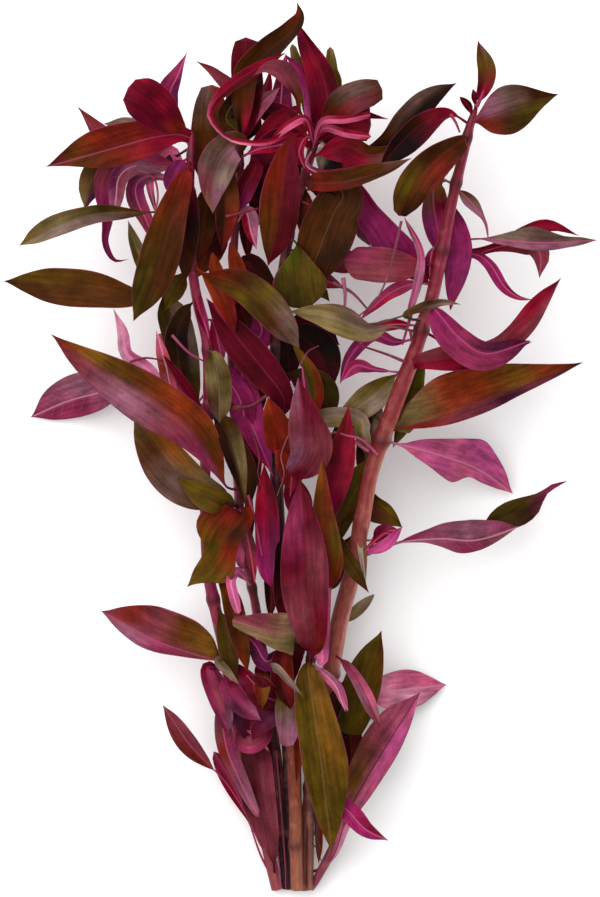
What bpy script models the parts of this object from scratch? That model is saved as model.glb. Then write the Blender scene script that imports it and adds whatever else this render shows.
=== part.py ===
"""Creeping primrose-willow: a cut bunch of leafy red stems, lying on its side.

The stems lie side by side along +Y, cut off flat together at their lower end. Each large leaf is an
object of its own, and the young and narrow leaves are united with the stem that they grow from.
The lowest leaves and the cut ends touch the surface at z = 0.
"""
import math
from collections import namedtuple

import bpy
from mathutils import Vector

# The length from the cut ends to the highest leaf tip sets the scale of everything else.
BUNCH_LENGTH = 0.250
MILLIMETRE = 0.001

# Places along and across the bunch are columns and rows of the reference photograph, 600 by 897.
TIP_ROW = 3
CUT_ROW = 893
CENTRE_COLUMN = 300
CENTRE_ROW = 448
STEP = BUNCH_LENGTH / (CUT_ROW - TIP_ROW)

GAP = 0.0003
BLADE_THICKNESS = 0.0006
RIM_THICKNESS = 0.0004
PETIOLE_RADIUS = 0.00062
PETIOLE_START = 0.00035
STEM_SIDES = 8
SPAN_STEPS = 10
LEAF_RINGS = 7
YOUNG_RINGS = 4

# A stem is a list of points (column, row, height in mm, diameter in mm), from its cut end upwards.
STEMS = {
    "stem_left": dict(
        colour=(0.42, 0.10, 0.14),
        path=(
            (277, 893, 1.6, 3.4), (262, 830, 6, 3.4), (247, 775, 10.5, 3.4),
            (235, 720, 15, 3.4), (224, 650, 20, 3.4), (213, 600, 24, 3.4), (207, 560, 27, 3.2),
            (205, 480, 31, 3.0), (208, 400, 34, 3.0), (207, 345, 36.5, 2.9),
            (197, 300, 38.5, 2.8), (191, 255, 40, 2.7), (190, 200, 41.5, 2.6),
            (191, 160, 42.5, 2.3), (192, 132, 43.5, 1.6),
        ),
    ),
    "stem_inner": dict(
        colour=(0.30, 0.05, 0.08),
        path=(
            (289, 893, 1.2, 2.5), (279, 780, 8.5, 2.5), (268, 690, 15, 2.5),
            (256, 610, 20, 2.5), (246, 560, 22.5, 2.4), (240, 520, 24.5, 2.4),
            (235, 440, 27, 2.4), (232, 380, 29, 2.4), (231, 300, 31, 2.3),
            (236, 220, 34, 2.2), (240, 165, 37, 2.0), (241, 142, 38.5, 1.4),
        ),
    ),
    "stem_centre": dict(
        colour=(0.55, 0.24, 0.14),
        path=(
            (297, 893, 6.4, 3.6), (296, 848, 9.5, 3.8), (295, 800, 12.5, 3.9),
            (293, 755, 15.5, 3.9), (286, 700, 19, 3.9), (289, 655, 21.5, 3.8),
            (281, 560, 24, 3.6), (276, 450, 27, 3.4), (276, 330, 31, 3.0),
            (290, 230, 35, 2.8), (308, 165, 39, 2.6), (319, 128, 42, 2.0),
        ),
    ),
    "stem_short": dict(
        colour=(0.34, 0.08, 0.10),
        path=(
            (310, 893, 5.6, 2.0), (310, 830, 11, 2.2), (308, 765, 15.5, 2.4),
            (309, 700, 20.5, 2.4), (311, 655, 25.5, 2.4), (316, 600, 29, 2.3),
            (322, 540, 32, 2.1), (327, 512, 33.5, 1.5),
        ),
    ),
    "stem_right": dict(
        colour=(0.48, 0.14, 0.12),
        path=(
            (303, 893, 2.0, 4.2), (306, 845, 5.6, 4.3), (312, 790, 9.5, 4.5),
            (322, 730, 14.5, 4.6), (330, 680, 18, 4.6), (336, 645, 20.5, 4.8),
            (340, 620, 22, 5.0), (352, 575, 26, 5.0), (357, 550, 28, 4.4),
            (362, 520, 30, 5.0), (369, 480, 32.5, 4.6), (378, 450, 34, 4.5),
            (389, 420, 35.5, 4.9), (404, 380, 37.5, 4.7), (417, 345, 39.5, 4.0),
            (424, 320, 40.5, 3.8), (431, 300, 41.5, 3.7), (442, 250, 43.5, 3.8),
            (452, 200, 45.5, 3.0), (465, 145, 47, 2.8), (470, 125, 47.5, 2.4),
            (476, 108, 48, 1.6),
        ),
    ),
}

# A leaf grows from its stem at one row, and its midrib runs through the points of its path, each
# (column, row, height in mm), to the last one, its tip. Left and right are the widest reach of
# each half from the midrib, in photograph steps, seen from above and looking along the leaf, and
# the lifts say how many mm the margins stand above the midrib there. The stalk is the share of the
# length before the blade begins.
LEAF_FACTS = "stem row path left right lift_left lift_right colour stalk"
Leaf = namedtuple("Leaf", LEAF_FACTS, defaults=(0.06,))

OLIVE = (0.22, 0.20, 0.03)
BROWN = (0.36, 0.15, 0.05)
WINE = (0.32, 0.03, 0.07)
MAGENTA = (0.48, 0.12, 0.28)
DARK = (0.12, 0.04, 0.04)

LEAVES = {
    # The left stem, from its tip down
    "leaf_left_01": Leaf(
        "stem_left", 139,
        ((176, 135.5, 46), (148, 140, 48), (116, 149, 49), (80, 159, 48), (46, 168, 46)),
        19, 23, 1.5, 2, BROWN,
    ),
    "leaf_left_02": Leaf(
        "stem_left", 136, ((168, 119, 52), (148, 102, 57), (129, 90, 58)), 23, 21, 2, 1, WINE,
    ),
    "leaf_left_03": Leaf(
        "stem_left", 165, ((150, 163, 38), (112, 145, 36), (77, 106, 34)), 13, 14, 1, 1, WINE,
    ),
    "leaf_left_04": Leaf(
        "stem_left", 170,
        ((160, 163, 33), (135, 163, 33), (112, 175, 32), (106, 195, 31), (107, 220, 30),
        (105, 243, 30), (114, 260, 30), (129, 259, 30)),
        15, 17, 1, 1, MAGENTA,
    ),
    "leaf_left_05": Leaf(
        "stem_left", 210,
        ((150, 213, 45), (125, 213, 45), (95, 215, 43), (57, 226, 41), (19, 246, 38)),
        11, 11, 1.5, 1, OLIVE, 0.2,
    ),
    "leaf_left_06": Leaf(
        "stem_left", 162, ((185, 178, 53), (172, 215, 57), (158, 262, 56), (134, 322, 49)),
        21, 19, 2, 1.5, BROWN,
    ),
    "leaf_left_07": Leaf(
        "stem_left", 272, ((235, 283, 49), (262, 302, 52), (285, 330, 52), (300, 349, 50)),
        18, 17, 1, 1.5, BROWN,
    ),
    "leaf_left_08": Leaf(
        "stem_left", 350, ((214, 356, 42), (219, 385, 44), (220, 424, 42)), 13, 13, 1, 1, OLIVE,
    ),
    "leaf_left_09": Leaf(
        "stem_left", 412, ((194, 395, 29), (182, 350, 28), (163, 291, 26)), 15, 18, 1, 1, OLIVE,
    ),
    "leaf_left_10": Leaf(
        "stem_left", 415, ((223, 425, 43), (236, 460, 48), (246, 507, 45)), 13, 11, 1, 1, BROWN,
    ),
    "leaf_left_11": Leaf(
        "stem_left", 882, ((272, 850, 11), (262, 800, 15), (256, 760, 16), (252, 736, 16)),
        21, 15, 1, 1, WINE,
    ),
    "leaf_left_12": Leaf(
        "stem_left", 432,
        ((165, 395, 25), (125, 382, 18), (98, 392, 9), (65, 401, 1), (28, 417, -3)),
        19, 25, 1, 1, MAGENTA, 0.3,
    ),
    "leaf_left_13": Leaf(
        "stem_left", 572, ((226, 590, 32.3), (236, 625, 33.3), (248, 673, 31)),
        12, 9, 1, 1, BROWN,
    ),
    "leaf_left_14": Leaf(
        "stem_left", 660, ((212, 660, 26), (182, 651, 25), (150, 639, 22.5), (100, 612, 15)),
        12, 34, 1.5, 2, BROWN, 0.12,
    ),
    "leaf_left_15": Leaf(
        "stem_left", 840,
        ((262, 850, 11), (245, 815, 13), (226, 785, 15), (207, 765, 17), (186, 742, 18),
        (162, 706, 19)),
        11, 9, 1, 1, WINE, 0.56,
    ),
    "leaf_left_16": Leaf(
        "stem_left", 800,
        ((258, 818, 15), (243, 790, 17), (228, 755, 20), (222, 725, 21), (219, 697, 20)),
        9, 10, 1, 1, MAGENTA,
    ),
    "leaf_left_17": Leaf(
        "stem_left", 245,
        ((168, 278, 43), (140, 296, 43), (98, 290, 42), (52, 285, 39), (3, 281, 33)),
        20, 18, 1, 1, OLIVE, 0.24,
    ),
    # The inner stem
    "leaf_inner_01": Leaf(
        "stem_inner", 218, ((228, 202, 36), (214, 165, 37.5), (211, 125, 38), (212, 85, 38)),
        21, 18, 1, 1, BROWN,
    ),
    "leaf_inner_02": Leaf(
        "stem_inner", 160, ((236, 146, 45.5), (222, 160, 46), (213, 188, 46), (213, 215, 44)),
        17, 17, 1, 1, BROWN,
    ),
    "leaf_inner_03": Leaf(
        "stem_inner", 152,
        ((242, 130, 43.5), (243, 95, 46.5), (248, 72, 47), (268, 52, 48), (290, 33, 48),
        (300, 18, 47), (297, 3, 46)),
        13, 12, 2, 1, BROWN,
    ),
    "leaf_inner_04": Leaf(
        "stem_inner", 508, ((222, 496, 32), (200, 484, 34.5), (170, 458, 36), (133, 412, 34)),
        27, 16, 1, 1, OLIVE,
    ),
    "leaf_inner_05": Leaf(
        "stem_inner", 515, ((244, 515, 34), (226, 536, 36), (214, 560, 34), (187, 587, 32)),
        24, 19, 1, 1, OLIVE,
    ),
    "leaf_inner_06": Leaf(
        "stem_inner", 490,
        ((226, 486, 41), (214, 465, 43), (200, 443, 45), (183, 423, 47), (155, 403, 48),
        (118, 380, 46), (80, 355, 43), (51, 334, 41)),
        27, 20, 2, 2, BROWN, 0.18,
    ),
    # The centre stem
    "leaf_centre_01": Leaf(
        "stem_centre", 129,
        ((301, 116, 52), (297, 99, 54), (289, 85, 56), (280, 73, 57), (266, 70, 57),
        (253, 78, 56)),
        6, 13, 1, 1, BROWN, 0.2,
    ),
    "leaf_centre_02": Leaf(
        "stem_centre", 150,
        ((326, 114, 45), (326, 90, 45), (318, 65, 43), (306, 42, 42), (297, 22, 41)),
        18, 12, 1.5, 1.5, MAGENTA,
    ),
    "leaf_centre_03": Leaf(
        "stem_centre", 145, ((340, 110, 50), (358, 98, 52), (382, 91, 51)), 17, 15, 1, 1, BROWN,
    ),
    "leaf_centre_04": Leaf(
        "stem_centre", 158,
        ((328, 151, 44.6), (346, 147, 44.9), (368, 156, 44), (388, 152, 43), (402, 141, 42)),
        11, 22, 1, 1, WINE,
    ),
    "leaf_centre_05": Leaf(
        "stem_centre", 180, ((315, 184, 50), (345, 183, 50), (385, 172, 52), (412, 159, 51)),
        13, 8, 1, 1, BROWN,
    ),
    "leaf_centre_06": Leaf(
        "stem_centre", 150,
        ((300, 135, 49), (288, 150, 51), (281, 195, 52), (276, 235, 50), (268, 267, 46)),
        20, 20, 1, 1.5, BROWN, 0.2,
    ),
    "leaf_centre_07": Leaf(
        "stem_centre", 175, ((342, 192, 43), (333, 215, 43), (318, 253, 42), (303, 292, 40)),
        29, 21, 1, 1, OLIVE,
    ),
    "leaf_centre_08": Leaf(
        "stem_centre", 168, ((352, 182, 35), (374, 214, 35), (398, 250, 34), (430, 286, 32)),
        17, 21, 1, 1, WINE,
    ),
    "leaf_centre_09": Leaf(
        "stem_centre", 156,
        ((352, 156, 34), (385, 143, 35), (406, 118, 36), (430, 97, 37), (457, 83, 37)),
        11, 17, 1, 1, DARK, 0.2,
    ),
    "leaf_centre_10": Leaf(
        "stem_centre", 238, ((290, 250, 44.3), (299, 278, 45.3), (307, 309, 44.3)),
        26, 27, 1, 1, OLIVE, 0.3,
    ),
    "leaf_centre_11": Leaf(
        "stem_centre", 485, ((303, 455, 40), (302, 425, 45), (298, 377, 44)),
        15, 18, 1.5, 1.5, MAGENTA,
    ),
    "leaf_centre_12": Leaf(
        "stem_centre", 430, ((284, 400, 37), (262, 368, 39), (235, 335, 40), (206, 298, 42)),
        19, 17, 1, 1, WINE,
    ),
    "leaf_centre_13": Leaf(
        "stem_centre", 645, ((298, 634, 34), (276, 633, 36), (255, 627, 37), (232, 620, 36)),
        23, 16, 1, 1, OLIVE,
    ),
    # The short stem
    "leaf_short_01": Leaf(
        "stem_short", 540, ((330, 505, 37), (343, 455, 38), (349, 404, 36)), 16, 14, 1, 1, WINE,
    ),
    "leaf_short_02": Leaf(
        "stem_short", 664, ((314, 640, 41), (308, 590, 44), (305, 540, 46), (300, 476, 44)),
        26, 22, 1.5, 1, MAGENTA,
    ),
    "leaf_short_03": Leaf(
        "stem_short", 602, ((330, 565, 41.5), (325, 510, 42.5), (322, 457, 41.5)),
        22, 18, 1, 1, BROWN,
    ),
    "leaf_short_04": Leaf(
        "stem_short", 662, ((308, 668, 31), (312, 700, 33), (322, 770, 31), (332, 855, 22)),
        27, 19, 2, 2, OLIVE,
    ),
    # The right stem, from its tip down
    "leaf_right_01": Leaf(
        "stem_right", 112, ((480, 95, 50), (485, 73, 51), (477, 42, 51)), 8, 10, 1, 1, BROWN,
    ),
    "leaf_right_02": Leaf(
        "stem_right", 130, ((477, 121, 48), (503, 112, 48), (530, 103, 46), (558, 95, 44)),
        23, 25, 2, 1, OLIVE,
    ),
    "leaf_right_03": Leaf(
        "stem_right", 126, ((448, 114, 46), (425, 122, 47), (402, 142, 46.6), (379, 169, 45.8)),
        17, 10, 1, 1, DARK,
    ),
    "leaf_right_04": Leaf(
        "stem_right", 146, ((463, 141, 53), (437, 160, 56), (415, 185, 56), (398, 217, 52)),
        19, 17, 1.5, 1.5, OLIVE,
    ),
    "leaf_right_05": Leaf(
        "stem_right", 200, ((456, 215, 40.5), (461, 250, 41.5), (450, 311, 41)),
        11, 11, 1, 1, MAGENTA,
    ),
    "leaf_right_06": Leaf(
        "stem_right", 244,
        ((460, 242, 37.5), (475, 239, 36.5), (500, 240, 38), (545, 243, 39), (598, 240, 34)),
        16, 8, 2, 1, MAGENTA, 0.24,
    ),
    "leaf_right_07": Leaf(
        "stem_right", 308, ((436, 312, 50), (458, 338, 52), (486, 354, 52), (530, 341, 49)),
        12, 20, 2, 1.5, MAGENTA,
    ),
    "leaf_right_08": Leaf(
        "stem_right", 366, ((424, 361, 44), (460, 356, 44), (500, 350, 43), (532, 342, 41)),
        17, 15, 1, 1, WINE,
    ),
    "leaf_right_09": Leaf(
        "stem_right", 432, ((412, 425, 37), (455, 412, 38), (515, 390, 36), (584, 362, 30)),
        39, 11, 3, 1.5, BROWN,
    ),
    "leaf_right_10": Leaf(
        "stem_right", 440, ((440, 455, 24), (480, 470, 11), (515, 494, -1)),
        26, 22, 1, 1, MAGENTA,
    ),
    "leaf_right_11": Leaf(
        "stem_right", 560,
        ((400, 543, 28), (440, 539, 26), (470, 541, 24), (492, 537, 21), (520, 527, 18)),
        21, 13, 2, 1, MAGENTA, 0.2,
    ),
    "leaf_right_12": Leaf(
        "stem_right", 655, ((349, 668, 31), (364, 692, 33), (380, 728, 31)), 7, 7, 1, 1, MAGENTA,
    ),
    "leaf_right_13": Leaf(
        "stem_right", 880, ((332, 862, 8), (350, 812, 13), (382, 755, 17), (421, 693, 18)),
        25, 10, 2, 2, MAGENTA,
    ),
    "leaf_right_14": Leaf(
        "stem_right", 690, ((372, 693, 9), (410, 691, 2), (448, 687, -1)),
        18, 18, 1, 1, MAGENTA, 0.2,
    ),
    # The leaf that the bunch lies on, below the others
    "leaf_under_top": Leaf(
        "stem_centre", 220, ((285, 190, 22), (280, 130, 9), (282, 80, -1), (286, 50, -1)),
        15, 15, 1, 1, WINE,
    ),
}

YOUNG_LEAVES = (
    # On the left stem
    Leaf(
        "stem_left", 150, ((178, 122, 43.5), (170, 97, 46), (178, 77, 48), (188, 53, 49)),
        12, 8, 1, 1, WINE,
    ),
    Leaf("stem_left", 155, ((180, 168, 44), (168, 195, 45)), 12, 11, 1, 1, WINE),
    Leaf(
        "stem_left", 148,
        ((165, 160, 31), (130, 158, 26), (104, 172, 23), (90, 190, 21), (84, 210, 20)),
        17, 19, 1, 1, DARK, 0.14,
    ),
    Leaf(
        "stem_left", 184, ((156, 175, 35.3), (141, 188, 35.6), (140, 214, 37.5), (152, 250, 39)),
        12, 14, 1, 1, MAGENTA,
    ),
    Leaf("stem_left", 178, ((188, 190, 48), (186, 235, 49), (185, 285, 46)), 14, 12, 1, 1, DARK),
    Leaf("stem_left", 420, ((185, 385, 37), (163, 355, 38)), 5, 5, 1, 1, WINE),
    Leaf(
        "stem_left", 445,
        ((170, 400, 32), (148, 370, 31.6), (127, 354, 32), (123, 332, 33), (113, 308, 33)),
        7, 7, 1, 1, MAGENTA,
    ),
    Leaf("stem_left", 430, ((175, 395, 34), (165, 362, 34), (156, 330, 34)), 8, 6, 1, 1, MAGENTA),
    Leaf("stem_left", 674, ((214, 696, 23), (217, 716, 24)), 7, 7, 1, 1, MAGENTA),
    Leaf("stem_left", 669, ((226, 690, 27), (238, 722, 27)), 12, 10, 1, 1, WINE),
    Leaf("stem_left", 648, ((243, 690, 25), (268, 722, 25)), 15, 13, 1, 1, MAGENTA),
    Leaf(
        "stem_left", 886, ((260, 858, 4.5), (245, 815, 4.5), (228, 780, 4.5), (213, 754, 4.5)),
        9, 9, 1, 1, WINE, 0.4,
    ),
    # On the inner stem
    Leaf(
        "stem_inner", 148, ((239, 134, 40.5), (226, 118, 41.5), (242, 95, 42.5), (262, 80, 42.5)),
        9, 18, 1, 1, DARK,
    ),
    Leaf("stem_inner", 156, ((248, 100, 41), (246, 70, 42), (246, 38, 42)), 15, 16, 1, 1, WINE),
    Leaf("stem_inner", 162, ((236, 100, 33), (216, 74, 33), (195, 60, 33)), 9, 10, 1, 1, WINE),
    Leaf("stem_inner", 174, ((250, 178, 39), (246, 195, 39.5), (239, 213, 38)), 9, 8, 1, 1, DARK),
    Leaf(
        "stem_inner", 225, ((247, 222, 36.5), (254, 238, 38), (262, 257, 38)),
        9, 7, 1, 1, MAGENTA,
    ),
    Leaf(
        "stem_inner", 165, ((229, 185, 42), (226, 215, 43), (222, 254, 40)), 13, 11, 1, 1, BROWN,
    ),
    Leaf("stem_inner", 300, ((220, 285, 36), (212, 252, 37)), 8, 8, 1, 1, BROWN),
    Leaf("stem_inner", 310, ((240, 285, 36), (230, 242, 38)), 9, 9, 1, 1, BROWN),
    Leaf("stem_inner", 572, ((240, 560, 28), (242, 520, 30)), 5, 5, 1, 1, WINE),
    Leaf("stem_inner", 588, ((243, 598, 26), (238, 613, 28)), 5, 5, 1, 1, MAGENTA),
    Leaf("stem_inner", 672, ((275, 671, 35), (289, 681, 39), (304, 697, 39)), 5, 5, 1, 1, OLIVE),
    Leaf("stem_inner", 680, ((262, 700, 20), (255, 716, 21)), 10, 10, 1, 1, OLIVE),
    # On the centre stem
    Leaf("stem_centre", 157, ((312, 98, 42), (302, 74, 42), (284, 54, 41.5)), 9, 9, 1, 1, WINE),
    Leaf("stem_centre", 142, ((334, 90, 39), (331, 70, 39), (330, 47, 38)), 6, 7, 1, 1, OLIVE),
    Leaf(
        "stem_centre", 150, ((330, 139, 42.4), (345, 131, 44.2), (373, 128, 45)),
        4, 4, 1, 1, MAGENTA,
    ),
    Leaf(
        "stem_centre", 145, ((322, 142, 40.8), (326, 156, 40.5), (320, 174, 40)),
        19, 5, 1, 1, DARK,
    ),
    Leaf(
        "stem_centre", 345, ((296, 335, 31), (318, 352, 31), (334, 388, 30)), 13, 20, 1, 1, DARK,
    ),
    Leaf("stem_centre", 430, ((310, 412, 34), (314, 380, 35), (292, 342, 36)), 8, 8, 1, 1, OLIVE),
    Leaf(
        "stem_centre", 470, ((300, 430, 38), (305, 400, 39), (302, 365, 39)), 5, 5, 1, 1, MAGENTA,
    ),
    Leaf(
        "stem_centre", 485, ((258, 440, 33), (248, 410, 33), (238, 350, 34)),
        14, 15, 1, 1, MAGENTA,
    ),
    Leaf("stem_centre", 465, ((280, 445, 35), (268, 397, 40)), 14, 15, 1, 1, BROWN),
    Leaf(
        "stem_centre", 600, ((268, 575, 29), (268, 530, 31), (264, 463, 32)), 13, 12, 1, 1, WINE,
    ),
    Leaf(
        "stem_centre", 640, ((268, 652, 29), (255, 643, 29.5), (238, 626, 30)),
        10, 7, 1, 1, MAGENTA,
    ),
    Leaf("stem_centre", 702, ((268, 698, 30), (246, 675, 31)), 15, 14, 1, 1, WINE),
    Leaf(
        "stem_centre", 682, ((287, 698, 27), (288, 722, 28), (287, 748, 27)), 17, 16, 1, 1, OLIVE,
    ),
    # On the short stem
    Leaf("stem_short", 525, ((336, 540, 38), (346, 558, 39), (369, 593, 38)), 8, 8, 1, 1, OLIVE),
    Leaf(
        "stem_short", 652, ((321, 645, 30), (323, 620, 31), (334, 573, 32)), 6, 6, 1, 1, MAGENTA,
    ),
    # On the right stem
    Leaf("stem_right", 120, ((468, 108, 49), (459, 98, 49)), 4, 4, 1, 1, WINE),
    Leaf(
        "stem_right", 262, ((415, 267, 39.5), (380, 265, 38.5), (341, 262, 37.5)),
        18, 18, 1, 1, WINE,
    ),
    Leaf(
        "stem_right", 318, ((409, 318, 45), (417, 285, 47), (420, 252, 48), (403, 216, 46)),
        5, 5, 1, 1, MAGENTA,
    ),
    Leaf(
        "stem_right", 186, ((440, 180, 41), (433, 193, 40), (436, 222, 37), (445, 258, 35)),
        8, 13, 1, 1, WINE,
    ),
    Leaf(
        "stem_right", 190,
        ((452, 187, 46), (464, 196, 46), (475, 208, 45.5), (485, 224, 45), (488, 242, 44)),
        6, 7, 1, 1, MAGENTA,
    ),
    Leaf(
        "stem_right", 252,
        ((458, 250, 35), (475, 250, 31), (498, 244, 31), (528, 231, 31), (552, 225, 31),
        (581, 236, 29)),
        7, 8, 1, 1, WINE,
    ),
    Leaf(
        "stem_right", 256,
        ((470, 256, 28), (500, 246, 27), (530, 243, 27), (541, 255, 27), (540, 278, 26)),
        9, 9, 1, 1, MAGENTA,
    ),
    Leaf(
        "stem_right", 264, ((470, 258, 36), (491, 265, 35), (507, 287, 34), (535, 302, 34)),
        5, 7, 1, 1, MAGENTA,
    ),
    Leaf(
        "stem_right", 330,
        ((460, 350, 37), (497, 346, 35), (525, 325, 37), (545, 300, 38), (561, 278, 39)),
        8, 16, 1, 1, WINE,
    ),
    Leaf(
        "stem_right", 352, ((421, 354, 34), (415, 385, 33), (406, 415, 31), (393, 448, 29)),
        11, 8, 1, 1, OLIVE,
    ),
    Leaf(
        "stem_right", 560,
        ((405, 541, 21), (440, 537, 17), (478, 529, 15), (505, 512, 15), (530, 496, 14),
        (550, 482, 14), (569, 480, 13)),
        13, 16, 1, 1, OLIVE, 0.55,
    ),
    Leaf("stem_right", 478, ((372, 500, 27), (386, 512, 27), (403, 528, 26)), 8, 17, 1, 1, OLIVE),
    Leaf("stem_right", 556, ((385, 545, 33), (402, 527, 35)), 6, 6, 1, 1, MAGENTA),
    Leaf(
        "stem_right", 378, ((396, 375, 34), (375, 394, 33), (352, 411, 32), (332, 425, 31)),
        16, 14, 1, 1, OLIVE,
    ),
    Leaf(
        "stem_right", 445, ((365, 470, 31), (350, 495, 29.5), (335, 527, 28)),
        12, 13, 1, 1, OLIVE,
    ),
    Leaf("stem_right", 800, ((343, 808, 24), (365, 830, 25), (389, 842, 23)), 10, 10, 1, 1, WINE),
    Leaf(
        "stem_right", 775, ((340, 765, 9), (352, 735, 12), (366, 690, 18), (382, 631, 22)),
        24, 15, 1, 1, OLIVE,
    ),
    Leaf("stem_right", 672, ((340, 692, 27), (348, 712, 27)), 5, 5, 1, 1, MAGENTA),
    Leaf("stem_right", 625, ((350, 618, 17), (375, 595, 16)), 6, 6, 1, 1, MAGENTA),
    Leaf(
        "stem_right", 333,
        ((390, 327, 46), (368, 331, 47), (340, 321, 48), (312, 314, 48), (289, 312, 46)),
        15, 15, 1, 1, BROWN, 0.2,
    ),
    Leaf("stem_right", 326, ((390, 325, 41), (362, 333, 41)), 6, 6, 1, 1, WINE),
    Leaf(
        "stem_right", 285, ((414, 284, 41), (392, 292, 40), (372, 308, 40), (359, 321, 40)),
        7, 7, 1, 1, WINE,
    ),
    Leaf(
        "stem_right", 372, ((395, 372, 38), (372, 369, 38), (355, 366, 38), (342, 381, 38)),
        8, 6, 1, 1, MAGENTA,
    ),
    Leaf(
        "stem_right", 338, ((395, 342, 36), (372, 335, 34), (350, 357, 34), (340, 384, 35)),
        7, 7, 1, 1, MAGENTA,
    ),
)


def place(column, row, height):
    """The point over this column and row of the photograph, this many millimetres up."""
    return Vector(((column - CENTRE_COLUMN) * STEP, (CENTRE_ROW - row) * STEP, height * MILLIMETRE))


def smooth_line(points, steps=SPAN_STEPS):
    """Points on a smooth curve through the given ones."""
    ends = [2 * points[0] - points[1], *points, 2 * points[-1] - points[-2]]
    line = [points[0].copy()]
    for before, start, end, after in zip(ends, ends[1:], ends[2:], ends[3:]):
        for step in range(1, steps + 1):
            t = step / steps
            line.append(
                0.5
                * (
                    2 * start
                    + (end - before) * t
                    + (2 * before - 5 * start + 4 * end - after) * t**2
                    + (3 * start - before - 3 * end + after) * t**3
                )
            )
    return line


def at_share(line, share):
    """The point and the direction at this share of the line's length."""
    lengths = [(b - a).length for a, b in zip(line, line[1:])]
    left = share * sum(lengths)
    for index, length in enumerate(lengths):
        if left <= length or index == len(lengths) - 1:
            start, end = line[index], line[index + 1]
            return start.lerp(end, left / length), (end - start).normalized()
        left -= length


def clay(name, colour):
    material = bpy.data.materials.new(name)
    material.use_nodes = True
    shader = material.node_tree.nodes["Principled BSDF"]
    shader.inputs["Base Color"].default_value = (*colour, 1)
    shader.inputs["Roughness"].default_value = 0.45
    shader.inputs["Metallic"].default_value = 0
    return material


def ring_body(name, rings, tip, colour):
    """A closed solid through rings of points, flat at its first end, pointed or flat at its last."""
    count = len(rings[0])
    vertices = [point for ring in rings for point in ring]
    faces = [tuple(reversed(range(count)))]
    for low in range(0, len(vertices) - count, count):
        for side in range(count):
            after = (side + 1) % count
            faces.append((low + side, low + after, low + count + after, low + count + side))
    last = len(vertices) - count
    if tip is None:
        faces.append(tuple(range(last, last + count)))
    else:
        vertices.append(tip)
        for side in range(count):
            faces.append((last + side, last + (side + 1) % count, last + count))
    mesh = bpy.data.meshes.new(name)
    mesh.from_pydata(vertices, [], faces)
    mesh.materials.append(clay(name, colour))
    mesh.shade_smooth()
    mesh.set_sharp_from_angle(angle=math.radians(50))
    body = bpy.data.objects.new(name, mesh)
    bpy.context.scene.collection.objects.link(body)
    return body


def rest_on_surface(point):
    """The point, or the one straight above it on the surface where it would be lower."""
    return Vector((point.x, point.y, max(point.z, 0)))


def stem_line(stem):
    return smooth_line([place(*point[:3]) for point in STEMS[stem]["path"]])


def stem_radius(stem, row):
    path = STEMS[stem]["path"]
    for below, above in zip(path, path[1:]):
        if row >= above[1]:
            share = (below[1] - row) / (below[1] - above[1])
            return (below[3] + (above[3] - below[3]) * share) / 2 * MILLIMETRE
    return path[-1][3] / 2 * MILLIMETRE


def stem_point(stem, row):
    """The point of the stem's axis at this row."""
    y = (CENTRE_ROW - row) * STEP
    line = stem_line(stem)
    for start, end in zip(line, line[1:]):
        if end.y >= y:
            return start.lerp(end, (y - start.y) / (end.y - start.y))
    return line[-1]


def leaf_path(leaf, apart):
    """The midrib from its stem's axis or, where the leaf is apart, from just outside its bark."""
    start = stem_point(leaf.stem, leaf.row)
    line = smooth_line([start, *(place(*point) for point in leaf.path)])
    if not apart:
        return line
    reach = stem_radius(leaf.stem, leaf.row) * 1.12 + GAP + PETIOLE_START
    axis = stem_line(leaf.stem)
    fine = [a.lerp(b, part / 8) for a, b in zip(line, line[1:]) for part in range(8)] + [line[-1]]
    for index, point in enumerate(fine):
        if distance_to_line(point, axis) >= reach:
            return fine[index:]


def distance_to_line(point, line):
    best = math.inf
    for start, end in zip(line, line[1:]):
        along = end - start
        share = min(max((point - start).dot(along) / along.length_squared, 0), 1)
        best = min(best, (point - start - along * share).length)
    return best


def make_leaf(name, leaf, apart, rings=LEAF_RINGS):
    """A thin closed blade, folded a little along its midrib, on a short round petiole."""
    line = leaf_path(leaf, apart)
    bare = leaf.stalk + 0.04
    shares = [0] + [bare + (1 - bare) * index / (rings - 1) for index in range(rings - 1)]
    bands = []
    for share in shares:
        centre, along = at_share(line, share)
        side = Vector((-along.y, along.x, 0)).normalized()
        blade = max(0, (share - leaf.stalk) / (1 - leaf.stalk))
        width = (4 * blade**0.9 * (1 - blade**0.9)) ** 0.85 if blade else 0
        petiole = PETIOLE_START if share == 0 else PETIOLE_RADIUS * (1 - 0.6 * share)
        left = side * (petiole + leaf.left * STEP * width)
        right = -side * (petiole + leaf.right * STEP * width)
        left.z += leaf.lift_left * MILLIMETRE * width
        right.z += leaf.lift_right * MILLIMETRE * width
        over_left = along.cross(left).normalized()
        over_right = right.cross(along).normalized()
        over = (over_left + over_right).normalized()
        middle_half = max(BLADE_THICKNESS / 2, petiole * (1 - 2 * blade))
        rim_half = min(RIM_THICKNESS / 2, petiole * 0.5)
        upper, lower = [], []
        for point, normal, half in (
            (centre + left, over_left, rim_half),
            (centre, over, middle_half),
            (centre + right, over_right, rim_half),
        ):
            bottom = point - normal * half
            rise = Vector((0, 0, max(0, -bottom.z)))
            upper.append(point + normal * half + rise)
            lower.append(bottom + rise)
        bands.append(upper + lower[::-1])
    return ring_body(name, bands, rest_on_surface(line[-1]), leaf.colour)


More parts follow.
